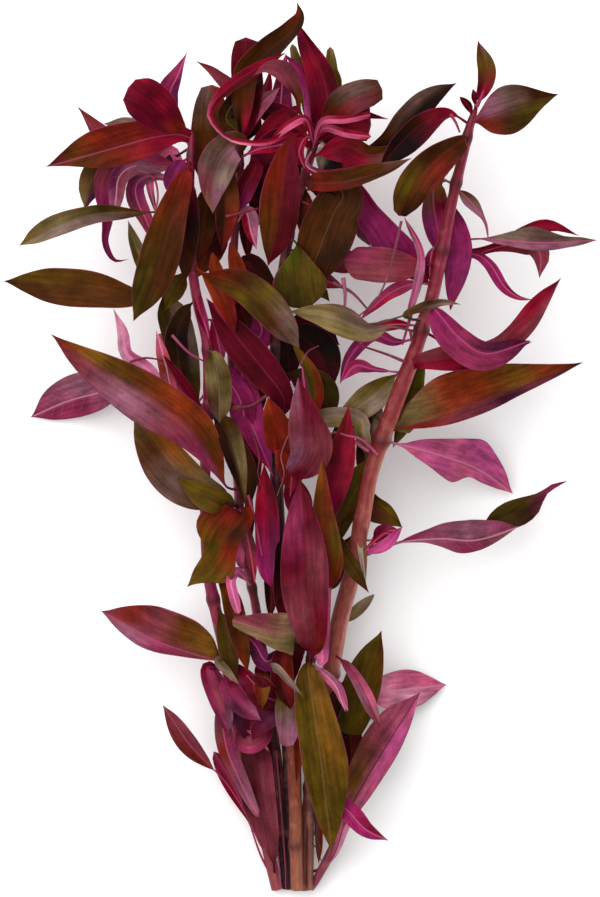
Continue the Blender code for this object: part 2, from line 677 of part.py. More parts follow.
def make_stem(name):
    """A round tapering stem, cut off flat at its lower end."""
    facts = STEMS[name]
    points = [place(*point[:3]) for point in facts["path"]]
    radii = [point[3] / 2 * MILLIMETRE for point in facts["path"]]
    bands = []
    for index, (centre, radius) in enumerate(zip(points, radii)):
        before = points[max(index - 1, 0)]
        after = points[min(index + 1, len(points) - 1)]
        along = Vector((0, 1, 0)) if index == 0 else (after - before).normalized()
        side = Vector((0, 0, 1)).cross(along).normalized()
        over = along.cross(side)
        band = []
        for corner in range(STEM_SIDES):
            angle = math.tau * corner / STEM_SIDES
            offset = side * math.cos(angle) + over * math.sin(angle)
            band.append(rest_on_surface(centre + offset * radius))
        bands.append(band)
    return ring_body(name, bands, None, facts["colour"])


def unite(stem, leaves):
    """Joins the stem's young leaves to it in one solid."""
    group = bpy.data.collections.new(stem.name + "_young_leaves")
    bpy.context.scene.collection.children.link(group)
    for leaf in leaves:
        bpy.context.scene.collection.objects.unlink(leaf)
        group.objects.link(leaf)
        leaf.hide_render = True
        leaf.display_type = "WIRE"
    union = stem.modifiers.new("young leaves", "BOOLEAN")
    union.operation = "UNION"
    union.operand_type = "COLLECTION"
    union.collection = group


def main():
    for old in list(bpy.data.objects):
        bpy.data.objects.remove(old, do_unlink=True)
    for name, leaf in LEAVES.items():
        make_leaf(name, leaf, apart=True)
    for name in STEMS:
        stem = make_stem(name)
        young = [
            make_leaf(name + "_young_leaf", leaf, False, YOUNG_RINGS)
            for leaf in YOUNG_LEAVES
            if leaf.stem == name
        ]
        unite(stem, young)


main()
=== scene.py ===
import math
from collections import namedtuple

import bpy
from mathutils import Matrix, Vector


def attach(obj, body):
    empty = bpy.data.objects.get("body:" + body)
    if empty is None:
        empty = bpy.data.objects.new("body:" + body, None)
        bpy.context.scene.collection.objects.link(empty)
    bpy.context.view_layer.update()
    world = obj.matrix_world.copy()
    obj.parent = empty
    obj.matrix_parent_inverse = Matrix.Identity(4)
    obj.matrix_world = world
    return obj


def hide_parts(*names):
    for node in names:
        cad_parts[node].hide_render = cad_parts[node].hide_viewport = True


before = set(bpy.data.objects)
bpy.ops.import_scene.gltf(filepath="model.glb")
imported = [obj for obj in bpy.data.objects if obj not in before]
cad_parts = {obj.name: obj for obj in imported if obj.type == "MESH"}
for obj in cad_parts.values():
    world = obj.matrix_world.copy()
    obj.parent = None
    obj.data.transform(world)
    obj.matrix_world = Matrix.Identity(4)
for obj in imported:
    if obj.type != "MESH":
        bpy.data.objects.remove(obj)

for startup in ("Cube", "Light", "Camera"):
    if startup in bpy.data.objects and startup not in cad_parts:
        bpy.data.objects.remove(bpy.data.objects[startup])
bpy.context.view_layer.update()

# The stems
# Five fleshy stems of the plant, red with painted light and shade from side to side, and paler
# where the bark has stretched. They are cut off flat together at the lower end, and swell at each
# leaf joint.
MM = 0.001
BUNCH_LENGTH = 0.250
STEP = BUNCH_LENGTH / (893 - 3)
CENTRE_COLUMN = 300
CENTRE_ROW = 448
# At a leaf joint the stem is thicker by this share, over this length to each side
JOINT_SWELL = 0.22
JOINT_REACH = 1.5 * MM
# The bud at the tip is this share of the stem long, and starts this many bud lengths along it
BUD_LENGTH = 0.015
BUD_START = 65.7
# The lamps light white paper to more than white, which keeps shadows faint, so the plant's
# colours are this share of what the photograph shows.
LAMP_SHARE = 0.66


def numbers(text):
    return tuple(float(number) for number in text.split())


def spots(text):
    """The spots of a path: numbers, with a comma between two spots."""
    return [numbers(spot) for spot in text.split(",")]


# Along the axis of each stem: column, row, height and thickness in mm. Then the rows of its leaf
# joints, and its colours from the cut end to the tip, for the left, the middle and the right; the
# left and right colours are partly painted light and shade over the stem's own colour.
Stem = namedtuple("Stem", "path joints left middle right")
STEMS = {
    "left": Stem(
        spots(
            "277 893 1.6 3.4, 262 830 6 3.4, 247 775 10.5 3.4, 235 720 15 3.4, "
            "224 650 20 3.4, 213 600 24 3.4, 207 560 27 3.2, 205 480 31 3.0, 208 400 34 3.0, "
            "207 345 36.5 2.9, 197 300 38.5 2.8, 191 255 40 2.7, 190 200 41.5 2.6, "
            "191 160 42.5 2.3, 192 132 43.5 1.6"
        ),
        numbers("830 720 655 600 485 410 350 268 205 155"),
        "8a3c3c 8a2c3c 8a2040 802040 7a1434 86103c 7a1034",
        "a04850 a03850 a02a50 94204c 8a1038 921440 8a1038",
        "c06078 b84868 b03060 a02c58 8a1c44 7a1038 6a0a2a",
    ),
    "inner": Stem(
        spots(
            "289 893 1.2 2.5, 279 780 8.5 2.5, 268 690 15 2.5, 256 610 20 2.5, "
            "246 560 22.5 2.4, 240 520 24.5 2.4, 235 440 27 2.4, 232 380 29 2.4, "
            "231 300 31 2.3, 236 220 34 2.2, 240 165 37 2.0, 241 142 38.5 1.4"
        ),
        numbers("660 588 505 380 290 165"),
        "7a2c3c 6a2030 9a4050 b04c64 b05068 9a3050 8a2048",
        "3a1018 3a1018 6a1c2c 7a2030 7a1428 6a1428 6a1028",
        "a05060 7a3040 4a1020 5a1020 4a0a18 4a0a18 4a0a18",
    ),
    "centre": Stem(
        spots(
            "297 893 6.4 3.6, 296 848 9.5 3.8, 295 800 12.5 3.9, 293 755 15.5 3.9, "
            "286 700 19 3.9, 289 655 21.5 3.8, 281 560 24 3.6, 276 450 27 3.4, "
            "276 330 31 3.0, 290 230 35 2.8, 308 165 39 2.6, 319 128 42 2.0"
        ),
        numbers("848 700 640 480 430 235 150"),
        "9a5444 7a3024 6a1c18 3a1010 3a1010 3a1010 4a0a14 7a1028",
        "a4644c 8c4028 6a2014 3a1010 4a1418 3a1010 5a0c18 8a1030",
        "a06050 9c5840 6a2c1c 3a1010 3a1010 3a1010 5a0c18 8a1a34",
    ),
    "short": Stem(
        spots(
            "310 893 5.6 2.0, 310 830 11 2.2, 308 765 15.5 2.4, 309 700 20.5 2.4, "
            "311 655 25.5 2.4, 316 600 29 2.3, 322 540 32 2.1, 327 512 33.5 1.5"
        ),
        numbers("760 660 595"),
        "5a2028 3a0810 3a0810 4a0a18",
        "8a5a48 4a2018 5a2824 6a1828",
        "5a1c20 3a0810 4a1018 5a1020",
    ),
    "right": Stem(
        spots(
            "303 893 2.0 4.2, 306 845 5.6 4.3, 312 790 9.5 4.5, 322 730 14.5 4.6, "
            "330 680 18 4.6, 336 645 20.5 4.8, 340 620 22 5.0, 352 575 26 5.0, "
            "357 550 28 4.4, 362 520 30 5.0, 369 480 32.5 4.6, 378 450 34 4.5, "
            "389 420 35.5 4.9, 404 380 37.5 4.7, 417 345 39.5 4.0, 424 320 40.5 3.8, "
            "431 300 41.5 3.7, 442 250 43.5 3.8, 452 200 45.5 3.0, 465 145 47 2.8, "
            "470 125 47.5 2.4, 476 108 48 1.6"
        ),
        numbers("790 675 560 440 330 250 184 138"),
        "7a3028 8a3430 8a3a30 7a1c20 7a0a18 5a0a1a",
        "985244 a4584a 9c4840 8a2c30 8a1438 7a1024",
        "d09080 d08c7c d08878 c87060 b04a60 a83a58",
    ),
}


def place(column, row, height):
    """This place in metres, with the middle of the bunch at the origin."""
    return Vector(((column - CENTRE_COLUMN) * STEP, (CENTRE_ROW - row) * STEP, height * MM))


def between(before, start, end, after, t):
    """The value at t, from 0 to 1, of a smooth curve from start to end."""
    bend = 2 * before - 5 * start + 4 * end - after
    turn = 3 * start - before - 3 * end + after
    return 0.5 * (2 * start + (end - before) * t + bend * t**2 + turn * t**3)


def smooth_line(points, steps=10):
    """Points on a smooth curve through the given ones."""
    ends = [2 * points[0] - points[1], *points, 2 * points[-1] - points[-2]]
    line = [points[0].copy()]
    for before, start, end, after in zip(ends, ends[1:], ends[2:], ends[3:]):
        for step in range(1, steps + 1):
            line.append(between(before, start, end, after, step / steps))
    return line


def linear(code, strength=1.0):
    """The linear colour of an sRGB hex value."""
    parts = [int(code[i : i + 2], 16) / 255 for i in (0, 2, 4)]
    light = [c / 12.92 if c <= 0.04045 else ((c + 0.055) / 1.055) ** 2.4 for c in parts]
    return (*(c * strength for c in light), 1)


def shade_at(codes, share, light=LAMP_SHARE):
    """The colour at this share of the way along a row of evenly spaced hex colours."""
    spot = min(max(share, 0), 1) * (len(codes) - 1)
    first = min(int(spot), len(codes) - 2)
    low, high = linear(codes[first], light), linear(codes[first + 1], light)
    return tuple(a + (b - a) * (spot - first) for a, b in zip(low, high))


def add(tree, kind, inputs=(), **settings):
    """Adds a node with its settings, and fills its inputs in order or by name, None for default."""
    made = tree.nodes.new(kind)
    for key, value in settings.items():
        setattr(made, key, value)
    if not isinstance(inputs, dict):
        shown = [socket.identifier for socket in made.inputs if socket.enabled]
        by_identifier = {socket.identifier: socket for socket in made.inputs}
        pairs = [(by_identifier[key], value) for key, value in zip(shown, inputs)]
    else:
        pairs = [(made.inputs[key], value) for key, value in inputs.items()]
    for socket, value in pairs:
        if isinstance(value, bpy.types.Node):
            value = next(output for output in value.outputs if output.enabled)
        if isinstance(value, bpy.types.NodeSocket):
            tree.links.new(value, socket)
        elif value is not None:
            socket.default_value = value
    return made


def new_tree(name, inputs):
    """A geometry tree with these named inputs, and the node that holds them."""
    tree = bpy.data.node_groups.new(name, "GeometryNodeTree")
    for title, kind in inputs:
        tree.interface.new_socket(title, in_out="INPUT", socket_type="NodeSocket" + kind)
    tree.interface.new_socket("Result", in_out="OUTPUT", socket_type="NodeSocketGeometry")
    return tree, add(tree, "NodeGroupInput").outputs


def guide(name, points, facts):
    """A line of edges through the points, with the facts stored on it by name."""
    mesh = bpy.data.meshes.new(name)
    mesh.from_pydata(points, [(i, i + 1) for i in range(len(points) - 1)], [])
    for title, values in facts.items():
        kinds = {1: ("FLOAT", "value"), 3: ("FLOAT_VECTOR", "vector"), 4: ("FLOAT_COLOR", "color")}
        kind, key = kinds[len(values[0])]
        stored = mesh.attributes.new(title, kind, "POINT")
        stored.data.foreach_set(key, [number for value in values for number in value])
    line = bpy.data.objects.new(name, mesh)
    bpy.context.scene.collection.objects.link(line)
    return line


def grow(line, tree, values):
    """Runs the tree on the line and leaves a plain mesh object of the same name."""
    modifier = line.modifiers.new("grow", "NODES")
    modifier.node_group = tree
    for item in tree.interface.items_tree:
        if item.name in values:
            modifier[item.identifier] = values[item.name]
    graph = bpy.context.evaluated_depsgraph_get()
    mesh = bpy.data.meshes.new_from_object(line.evaluated_get(graph))
    name, old = line.name, line.data
    bpy.data.objects.remove(line)
    bpy.data.meshes.remove(old)
    mesh.name = name
    piece = bpy.data.objects.new(name, mesh)
    bpy.context.scene.collection.objects.link(piece)
    return piece


def cells(size):
    """How many cells of a pattern fit in a metre, where one is this many mm long."""
    return round(1000 / size)


# A circle of this radius is one cell of a pattern long
CELL_CIRCLE = 0.16
# From -1 on the left of a stem to 1 on its right: where the left colour fades into the middle
# one, and where the middle one fades into the right one. The side colours are painted light and
# shade, by which way the skin faces.
LEFT_FADE = (-0.85, -0.1)
RIGHT_FADE = (0.45, 0.85)


def rod_tree():
    """A round rod along a line of changing radius, with painted light and shade from side to side.
    """
    tree, given = new_tree(
        "rod round its line",
        (("Line", "Geometry"), ("Sides", "Int"), ("Ridge height", "Float"), ("Ridges", "Float"),
         ("Seed", "Int"), ("Material", "Material")),
    )
    curve = add(tree, "GeometryNodeMeshToCurve", [given["Line"]])
    length = add(tree, "GeometryNodeSplineParameter").outputs["Length"]
    curve = add(tree, "GeometryNodeStoreNamedAttribute", [curve, True, "along", length])
    ring = add(tree, "GeometryNodeCurvePrimitiveCircle", [given["Sides"], 1.0])
    turn = add(tree, "GeometryNodeSplineParameter").outputs["Factor"]
    ring = add(tree, "GeometryNodeStoreNamedAttribute", [ring, True, "around", turn])
    radius = add(tree, "GeometryNodeInputNamedAttribute", ["thick"])
    rod = add(tree, "GeometryNodeCurveToMesh", [curve, ring, radius, True])
    angle = add(tree, "ShaderNodeMath",
                [add(tree, "GeometryNodeInputNamedAttribute", ["around"]), math.tau],
                operation="MULTIPLY")
    # Lengthwise ridges, 17 mm long, in a pattern that closes round the rod
    spread = add(tree, "ShaderNodeMath", [given["Ridges"], CELL_CIRCLE], operation="MULTIPLY")
    round_rod = []
    for name in ("COSINE", "SINE"):
        turned = add(tree, "ShaderNodeMath", [angle], operation=name)
        round_rod.append(add(tree, "ShaderNodeMath", [turned, spread], operation="MULTIPLY"))
    travel = add(tree, "GeometryNodeInputNamedAttribute", ["along"])
    travel = add(tree, "ShaderNodeMath", [travel, cells(16.7)], operation="MULTIPLY")
    spot = add(tree, "ShaderNodeCombineXYZ", [*round_rod, travel])
    noise = add(tree, "ShaderNodeTexNoise", [spot, given["Seed"], 1.0, 2.0], noise_dimensions="4D")
    ridge = add(tree, "ShaderNodeMath",
                [add(tree, "ShaderNodeMath", [noise, 0.5], operation="SUBTRACT"),
                 given["Ridge height"]], operation="MULTIPLY")
    outward = add(tree, "GeometryNodeInputNormal")
    push = add(tree, "ShaderNodeVectorMath", {0: outward, "Scale": ridge}, operation="SCALE")
    rod = add(tree, "GeometryNodeSetPosition", [rod, True, None, push])
    east = add(tree, "ShaderNodeSeparateXYZ", [outward]).outputs["X"]
    # Painted light and shade: the left, middle and right colours by which way the skin faces
    tints = [
        add(tree, "GeometryNodeInputNamedAttribute", [name], data_type="FLOAT_COLOR")
        for name in ("tint_left", "tint_middle", "tint_right")
    ]
    tint = tints[0]
    for fade, following in ((LEFT_FADE, tints[1]), (RIGHT_FADE, tints[2])):
        passed = add(tree, "ShaderNodeMapRange", [east, *fade], clamp=True)
        tint = add(tree, "ShaderNodeMix", [passed, tint, following], data_type="RGBA")
    rod = add(tree, "GeometryNodeStoreNamedAttribute", [rod, True, "tint", tint],
              data_type="FLOAT_COLOR")
    rod = add(tree, "GeometryNodeSetShadeSmooth", [rod, True, True])
    rod = add(tree, "GeometryNodeRealizeInstances", [rod])
    rod = add(tree, "GeometryNodeSetMaterial", [rod, True, given["Material"]])
    add(tree, "NodeGroupOutput", [rod])
    return tree


# The bark where it has stretched, and the scar round a leaf joint
STRETCHED_BARK = "b87868"
JOINT_SCAR = "3a0a12"


def bark():
    """Young bark, grown: satin skin over fleshy tissue, with fine lengthwise streaks and scars."""
    material = bpy.data.materials.new("young_stem_bark")
    material.use_nodes = True
    tree = material.node_tree
    shader = tree.nodes["Principled BSDF"]
    tint = add(tree, "ShaderNodeAttribute", attribute_name="tint").outputs["Color"]
    around, along, joint = (
        add(tree, "ShaderNodeAttribute", attribute_name=name).outputs["Fac"]
        for name in ("around", "along", "joint")
    )
    turn = add(tree, "ShaderNodeMath", [around, math.tau], operation="MULTIPLY")
    # Streaks 2.6 mm long, and 0.6 mm wide on a stem of 4 mm. The pattern is read on a circle of
    # radius 1 that moves on by 1 for each 8.3 mm of stem, and 3.2 of its cells make 1.
    spot = add(tree, "ShaderNodeCombineXYZ", [
        add(tree, "ShaderNodeMath", [turn], operation="COSINE"),
        add(tree, "ShaderNodeMath", [turn], operation="SINE"),
        add(tree, "ShaderNodeMath", [along, cells(8.33)], operation="MULTIPLY"),
    ])
    streak = add(tree, "ShaderNodeTexNoise", {"Vector": spot, "Scale": 3.2, "Detail": 3.0})
    shade = add(tree, "ShaderNodeMapRange", [streak, 0.3, 0.7, 0.72, 1.28])
    # Blotches 4 mm long, where the red pigment is thinner
    here = add(tree, "ShaderNodeTexCoord").outputs["Object"]
    blotch = add(tree, "ShaderNodeTexNoise",
                 {"Vector": here, "Scale": cells(3.85), "Detail": 2.0})
    pale = add(tree, "ShaderNodeMapRange", [blotch, 0.55, 0.75, 0.0, 0.22])
    colour = add(tree, "ShaderNodeMix", [pale, tint, linear(STRETCHED_BARK)], data_type="RGBA")
    colour = add(tree, "ShaderNodeMix", [1.0, colour, shade], data_type="RGBA",
                 blend_type="MULTIPLY")
    scar = add(tree, "ShaderNodeMath", [joint, 0.75], operation="MULTIPLY")
    colour = add(tree, "ShaderNodeMix", [scar, colour, linear(JOINT_SCAR)], data_type="RGBA")
    tree.links.new(colour.outputs[2], shader.inputs["Base Color"])
    shader.inputs["Roughness"].default_value = 0.42
    shader.inputs["Specular IOR Level"].default_value = 0.2
    bump = add(tree, "ShaderNodeBump", {"Strength": 0.5, "Distance": 0.15 * MM, "Height": streak})
    tree.links.new(bump.outputs[0], shader.inputs["Normal"])
    return material


def stem_axis(stem):
    """The line that the leaves of this stem start from."""
    return smooth_line([place(*point[:3]) for point in STEMS[stem].path])


def stem_radius(stem, row):
    """Half the thickness of the stem at this row, in metres."""
    path = STEMS[stem].path
    for below, above in zip(path, path[1:]):
        if row >= above[1]:
            share = (below[1] - row) / (below[1] - above[1])
            return (below[3] + (above[3] - below[3]) * share) / 2 * MM
    return path[-1][3] / 2 * MM


def stem_point(stem, row):
    """The point of the stem's axis at this row."""
    y = (CENTRE_ROW - row) * STEP
    line = stem_axis(stem)
    for start, end in zip(line, line[1:]):
        if end.y >= y:
            return start.lerp(end, (y - start.y) / (end.y - start.y))
    return line[-1]


ROD = rod_tree()
BARK = bark()
for name, stem in STEMS.items():
    axis = smooth_line([place(*point[:3]) for point in stem.path], steps=24)
    rows = [CENTRE_ROW - point.y / STEP for point in axis]
    joints = []
    for row in rows:
        nearest = min(abs(row - joint) for joint in stem.joints) * STEP
        joints.append(math.exp(-((nearest / JOINT_REACH) ** 2)))
    shares = [(rows[0] - row) / (rows[0] - rows[-1]) for row in rows]
    # The tip of the stem is a round bud, left just open
    closed = [min(max(0, share / BUD_LENGTH - BUD_START), 0.99) for share in shares]
    buds = [math.sqrt(1 - share**2) for share in closed]
    facts = {
        "thick": [(stem_radius(name, row) * (1 + JOINT_SWELL * joint) * bud,)
                  for row, joint, bud in zip(rows, joints, buds)],
        "joint": [(joint,) for joint in joints],
    }
    for side in ("left", "middle", "right"):
        codes = getattr(stem, side).split()
        facts[f"tint_{side}"] = [shade_at(codes, share) for share in shares]
    piece = grow(
        guide(f"bark_{name}", axis, facts), ROD,
        {"Sides": 24, "Ridge height": 0.5 * MM, "Ridges": 14.0, "Seed": 3, "Material": BARK},
    )
    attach(piece, "root")
    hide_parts(f"stem_{name}")

# The leaves of the left stem
# Soft, thin, lance-shaped leaves, one by one up the stem: brown and olive on the upper side,
# magenta below, with a raised midrib that runs into a short round petiole on the stem.
PETIOLE_RADIUS = 0.5 * MM
TIP_RADIUS = 0.08 * MM
# A petiole starts on the axis of its stem, and no blade before this many radii of the stem
JOINT_COVER = 1.2
# The side that is turned away from above is one colour: brown on an upper side, magenta on an
# underside
UPPER_HIDDEN = "5a3a14"
UNDER_HIDDEN = "8a3054"
# The near black colour is painted shade, for leaves that lie deep in the bunch. Grey, taupe and
# mauve are partly the leaves' own colour and partly painted sheen, where a blade catches the light.
PALETTE = {
    "crimson": "860c26", "ruby": "9a1430", "wine": "5c061c", "maroon": "43060f",
    "rust": "6e1c0e", "sienna": "7c2c10", "amber": "8a4a10", "brown": "4f2808",
    "umber": "3e1e08", "bark": "2a1206", "black": "120604", "olive": "523e0a",
    "moss": "3e300a", "bronze": "684410", "green": "555c08", "khaki": "6c5a36", "grey": "7e685c",
    "taupe": "644a42", "mauve": "8c5468", "magenta": "8c1f55", "berry": "84284a",
    "plum": "451830", "violet": "6a1c48", "brick": "74303a", "pink": "b54a80",
    "rose": "c4587c", "pale": "d890a8", "cream": "b8b096", "tan": "86644a",
}
# A leaf grows from its stem at a row, and its midrib runs through its path to the tip. Left and
# right are the reach of each half from the midrib in photograph steps: one number at the widest
# place, or a row of them from the start of the blade to its tip. The colours run from petiole to
# tip, and an empty right half is as the left one; where the halves differ, this is partly the
# leaf's own colour and partly painted light and shade, one half of the fold lit and the other in
# shade. The wave and the lifts are mm that the margins wave and stand above the midrib, and the
# stalk is a share of the length that shows.
LEAF_FACTS = "row path left right left_tints right_tints rib wave side stalk lifts slot"
Leaf = namedtuple("Leaf", LEAF_FACTS, defaults=("upper", 0.06, (1, 1), "leaf_brown"))
# On the upper side of a blade the rib stands up by this share of its radius
UPPER_RIB = 0.45
# The lift of a margin grows as this power of the way out to the rim
LIFT_POWER = 1.4
# The waves of the left margin are read this far aside in the pattern of the right one's
MARGIN_GAP = 4.7
# A side vein runs on towards the tip by this share of the way out, and by more near the rim
VEIN_SLANT = 0.6
VEIN_CURVE = 0.35
# The colours of the two halves, partly painted light and shade of the fold, blend over this share
# of each half
TINT_BLEND = 0.3
# Metres, well outside the bunch: a limit there leaves a side free
FAR_OFF = 9.0


def blade_tree():
    """A thin blade round its midrib: the midrib carries the half widths, lifts and colours."""
    tree, given = new_tree(
        "blade round its midrib",
        (("Midrib", "Geometry"), ("Stations", "Int"), ("Columns", "Int"),
         ("Blade half thickness", "Float"), ("Vein spacing", "Float"), ("Pucker height", "Float"),
         ("Wave length", "Float"), ("Seed", "Int"), ("Underside up", "Float"),
         ("Hidden colour", "Color"), ("Material", "Material")),
    )
    curve = add(tree, "GeometryNodeMeshToCurve", [given["Midrib"]])
    grid = add(tree, "GeometryNodeMeshGrid", [1.0, 1.0, given["Stations"], given["Columns"]])
    spot = add(tree, "ShaderNodeSeparateXYZ", [add(tree, "GeometryNodeInputPosition")])
    share = add(tree, "ShaderNodeMath", [spot.outputs["X"], 0.5], operation="ADD")
    # Round the blade: 1 at the left rim, -1 at the right rim, over the top and back below
    fold = spot.outputs["Y"]
    for operation, *number in (("MULTIPLY", 4.0), ("ABSOLUTE",), ("SUBTRACT", 1.0)):
        fold = add(tree, "ShaderNodeMath", [fold, *number], operation=operation)
    out = add(tree, "ShaderNodeMath", [fold], operation="ABSOLUTE")
    out = add(tree, "ShaderNodeMapRange", [out, 0.0, 1.0, 0.0, 1.0],
              interpolation_type="SMOOTHSTEP")
    is_left = add(tree, "ShaderNodeMath", [fold, 0.0], operation="GREATER_THAN")
    is_top = add(tree, "ShaderNodeMath", [spot.outputs["Y"], 0.0], operation="LESS_THAN")
    sign = add(tree, "ShaderNodeMath", [fold], operation="SIGN")
    across = add(tree, "ShaderNodeMath", [out, sign], operation="MULTIPLY")

    line = add(tree, "GeometryNodeSampleCurve", [curve, None, share])
    sampled = {}
    for title, kind in (("halves", "FLOAT_VECTOR"), ("lifts", "FLOAT_VECTOR"),
                        ("left_tint", "FLOAT_COLOR"), ("right_tint", "FLOAT_COLOR"),
                        ("rib_tint", "FLOAT_COLOR")):
        stored = add(tree, "GeometryNodeInputNamedAttribute", [title], data_type=kind)
        sampled[title] = add(tree, "GeometryNodeSampleCurve", [curve, stored, share],
                             data_type=kind)
    left, right, radius = add(tree, "ShaderNodeSeparateXYZ", [sampled["halves"]]).outputs
    lift_left, lift_right, wave = add(tree, "ShaderNodeSeparateXYZ", [sampled["lifts"]]).outputs
    half = add(tree, "ShaderNodeMix", [is_left, right, left])
    lift = add(tree, "ShaderNodeMix", [is_left, lift_right, lift_left])
    reach = add(tree, "ShaderNodeMath", [across, half], operation="MULTIPLY")

    # The underside carries most of the rib, but the petiole is round all over
    other = add(tree, "ShaderNodeMath", [is_top, given["Underside up"]], operation="SUBTRACT")
    other = add(tree, "ShaderNodeMath", [other], operation="ABSOLUTE")
    under = add(tree, "ShaderNodeMath", [1.0, other], operation="SUBTRACT")
    spread = add(tree, "ShaderNodeMath", [half, radius], operation="DIVIDE")
    sunk = add(tree, "ShaderNodeMapRange", [spread, 1.0, 3.0, 1.0, UPPER_RIB], clamp=True)
    rise = add(tree, "ShaderNodeMix", [under, sunk, 1.0])
    rib = add(tree, "ShaderNodeMath", [radius, rise], operation="MULTIPLY")
    rib = add(tree, "ShaderNodeMath", [rib, rib], operation="MULTIPLY")
    aside = add(tree, "ShaderNodeMath", [reach, reach], operation="MULTIPLY")
    for operation, other in (("SUBTRACT", aside), ("MAXIMUM", 0.0), ("POWER", 0.5)):
        rib = add(tree, "ShaderNodeMath", [rib, other], operation=operation)
    # The skin is flat to near the rim, and rounds off there
    rim = add(tree, "ShaderNodeMath", [out, 6.0], operation="POWER")
    rim = add(tree, "ShaderNodeMath", [1.0, rim], operation="SUBTRACT")
    rim = add(tree, "ShaderNodeMath", [rim, 0.5], operation="POWER")
    skin = add(tree, "ShaderNodeMath", [rim, given["Blade half thickness"]], operation="MULTIPLY")
    high = add(tree, "ShaderNodeMath", [skin, rib], operation="MAXIMUM")
    high = add(tree, "ShaderNodeMath",
               [high, add(tree, "ShaderNodeMapRange", [is_top, 0.0, 1.0, -1.0, 1.0])],
               operation="MULTIPLY")

    # Margins rise or hang, and wave; the blade puckers between its side veins
    length = add(tree, "GeometryNodeCurveLength", [curve])
    travel = add(tree, "ShaderNodeMath", [share, length], operation="MULTIPLY")
    beat = add(tree, "ShaderNodeMath", [travel, given["Wave length"]], operation="DIVIDE")
    gap = add(tree, "ShaderNodeMath", [is_left, MARGIN_GAP], operation="MULTIPLY")
    spot = add(tree, "ShaderNodeCombineXYZ", [beat, gap])
    noise = add(tree, "ShaderNodeTexNoise", [spot, given["Seed"], 1.0, 1.0],
                noise_dimensions="4D")
    noise = add(tree, "ShaderNodeMapRange", [noise, 0.25, 0.75, -1.0, 1.0])
    waves = add(tree, "ShaderNodeMath", [noise, wave], operation="MULTIPLY")
    outer = add(tree, "ShaderNodeMath", [out, 2.0], operation="POWER")
    waves = add(tree, "ShaderNodeMath", [waves, outer], operation="MULTIPLY")
    bend = add(tree, "ShaderNodeMath", [out, LIFT_POWER], operation="POWER")
    lifted = add(tree, "ShaderNodeMath", [lift, bend], operation="MULTIPLY")
    lag = add(tree, "ShaderNodeMath", [out, VEIN_CURVE, VEIN_SLANT], operation="MULTIPLY_ADD")
    lag = add(tree, "ShaderNodeMath",
              [lag, add(tree, "ShaderNodeMath", [reach], operation="ABSOLUTE")],
              operation="MULTIPLY")
    phase = add(tree, "ShaderNodeMath", [travel, lag], operation="SUBTRACT")
    phase = add(tree, "ShaderNodeMath", [phase, given["Vein spacing"]], operation="DIVIDE")
    inner = add(tree, "ShaderNodeMath", [1.0, outer], operation="SUBTRACT")
    inner = add(tree, "ShaderNodeMath", [inner, out], operation="MULTIPLY")
    ripple = add(tree, "ShaderNodeMath", [phase, math.tau], operation="MULTIPLY")
    ripple = add(tree, "ShaderNodeMath", [ripple], operation="COSINE")
    for factor in (inner, given["Pucker height"]):
        ripple = add(tree, "ShaderNodeMath", [ripple, factor], operation="MULTIPLY")
    raised = waves
    for more in (lifted, ripple):
        raised = add(tree, "ShaderNodeMath", [raised, more], operation="ADD")

    # Both ends close to a point on the midrib
    begun = add(tree, "ShaderNodeMath", [share, 0.001], operation="GREATER_THAN")
    ended = add(tree, "ShaderNodeMath", [share, 0.999], operation="LESS_THAN")
    whole = add(tree, "ShaderNodeMath", [begun, ended], operation="MULTIPLY")
    tangent = line.outputs["Tangent"]
    side = add(tree, "ShaderNodeVectorMath", [(0.0, 0.0, 1.0), tangent],
               operation="CROSS_PRODUCT")
    side = add(tree, "ShaderNodeVectorMath", [side], operation="NORMALIZE")
    over = add(tree, "ShaderNodeVectorMath", [tangent, side], operation="CROSS_PRODUCT")
    offset = add(tree, "ShaderNodeVectorMath", {0: side, "Scale": reach}, operation="SCALE")
    depth = add(tree, "ShaderNodeVectorMath", {0: over, "Scale": high}, operation="SCALE")
    offset = add(tree, "ShaderNodeVectorMath", [offset, depth])
    offset = add(tree, "ShaderNodeVectorMath",
                 [offset, add(tree, "ShaderNodeCombineXYZ", [0.0, 0.0, raised])])
    offset = add(tree, "ShaderNodeVectorMath", {0: offset, "Scale": whole}, operation="SCALE")
    point = add(tree, "ShaderNodeVectorMath", [line.outputs["Position"], offset])
    # No leaf dips below the surface that the bunch lies on, and there it keeps its thickness
    lowest = is_top
    for factor in (rim, whole, given["Blade half thickness"]):
        lowest = add(tree, "ShaderNodeMath", [lowest, factor], operation="MULTIPLY")
    lowest = add(tree, "ShaderNodeCombineXYZ", [-FAR_OFF, -FAR_OFF, lowest])
    point = add(tree, "ShaderNodeVectorMath", [point, lowest], operation="MAXIMUM")
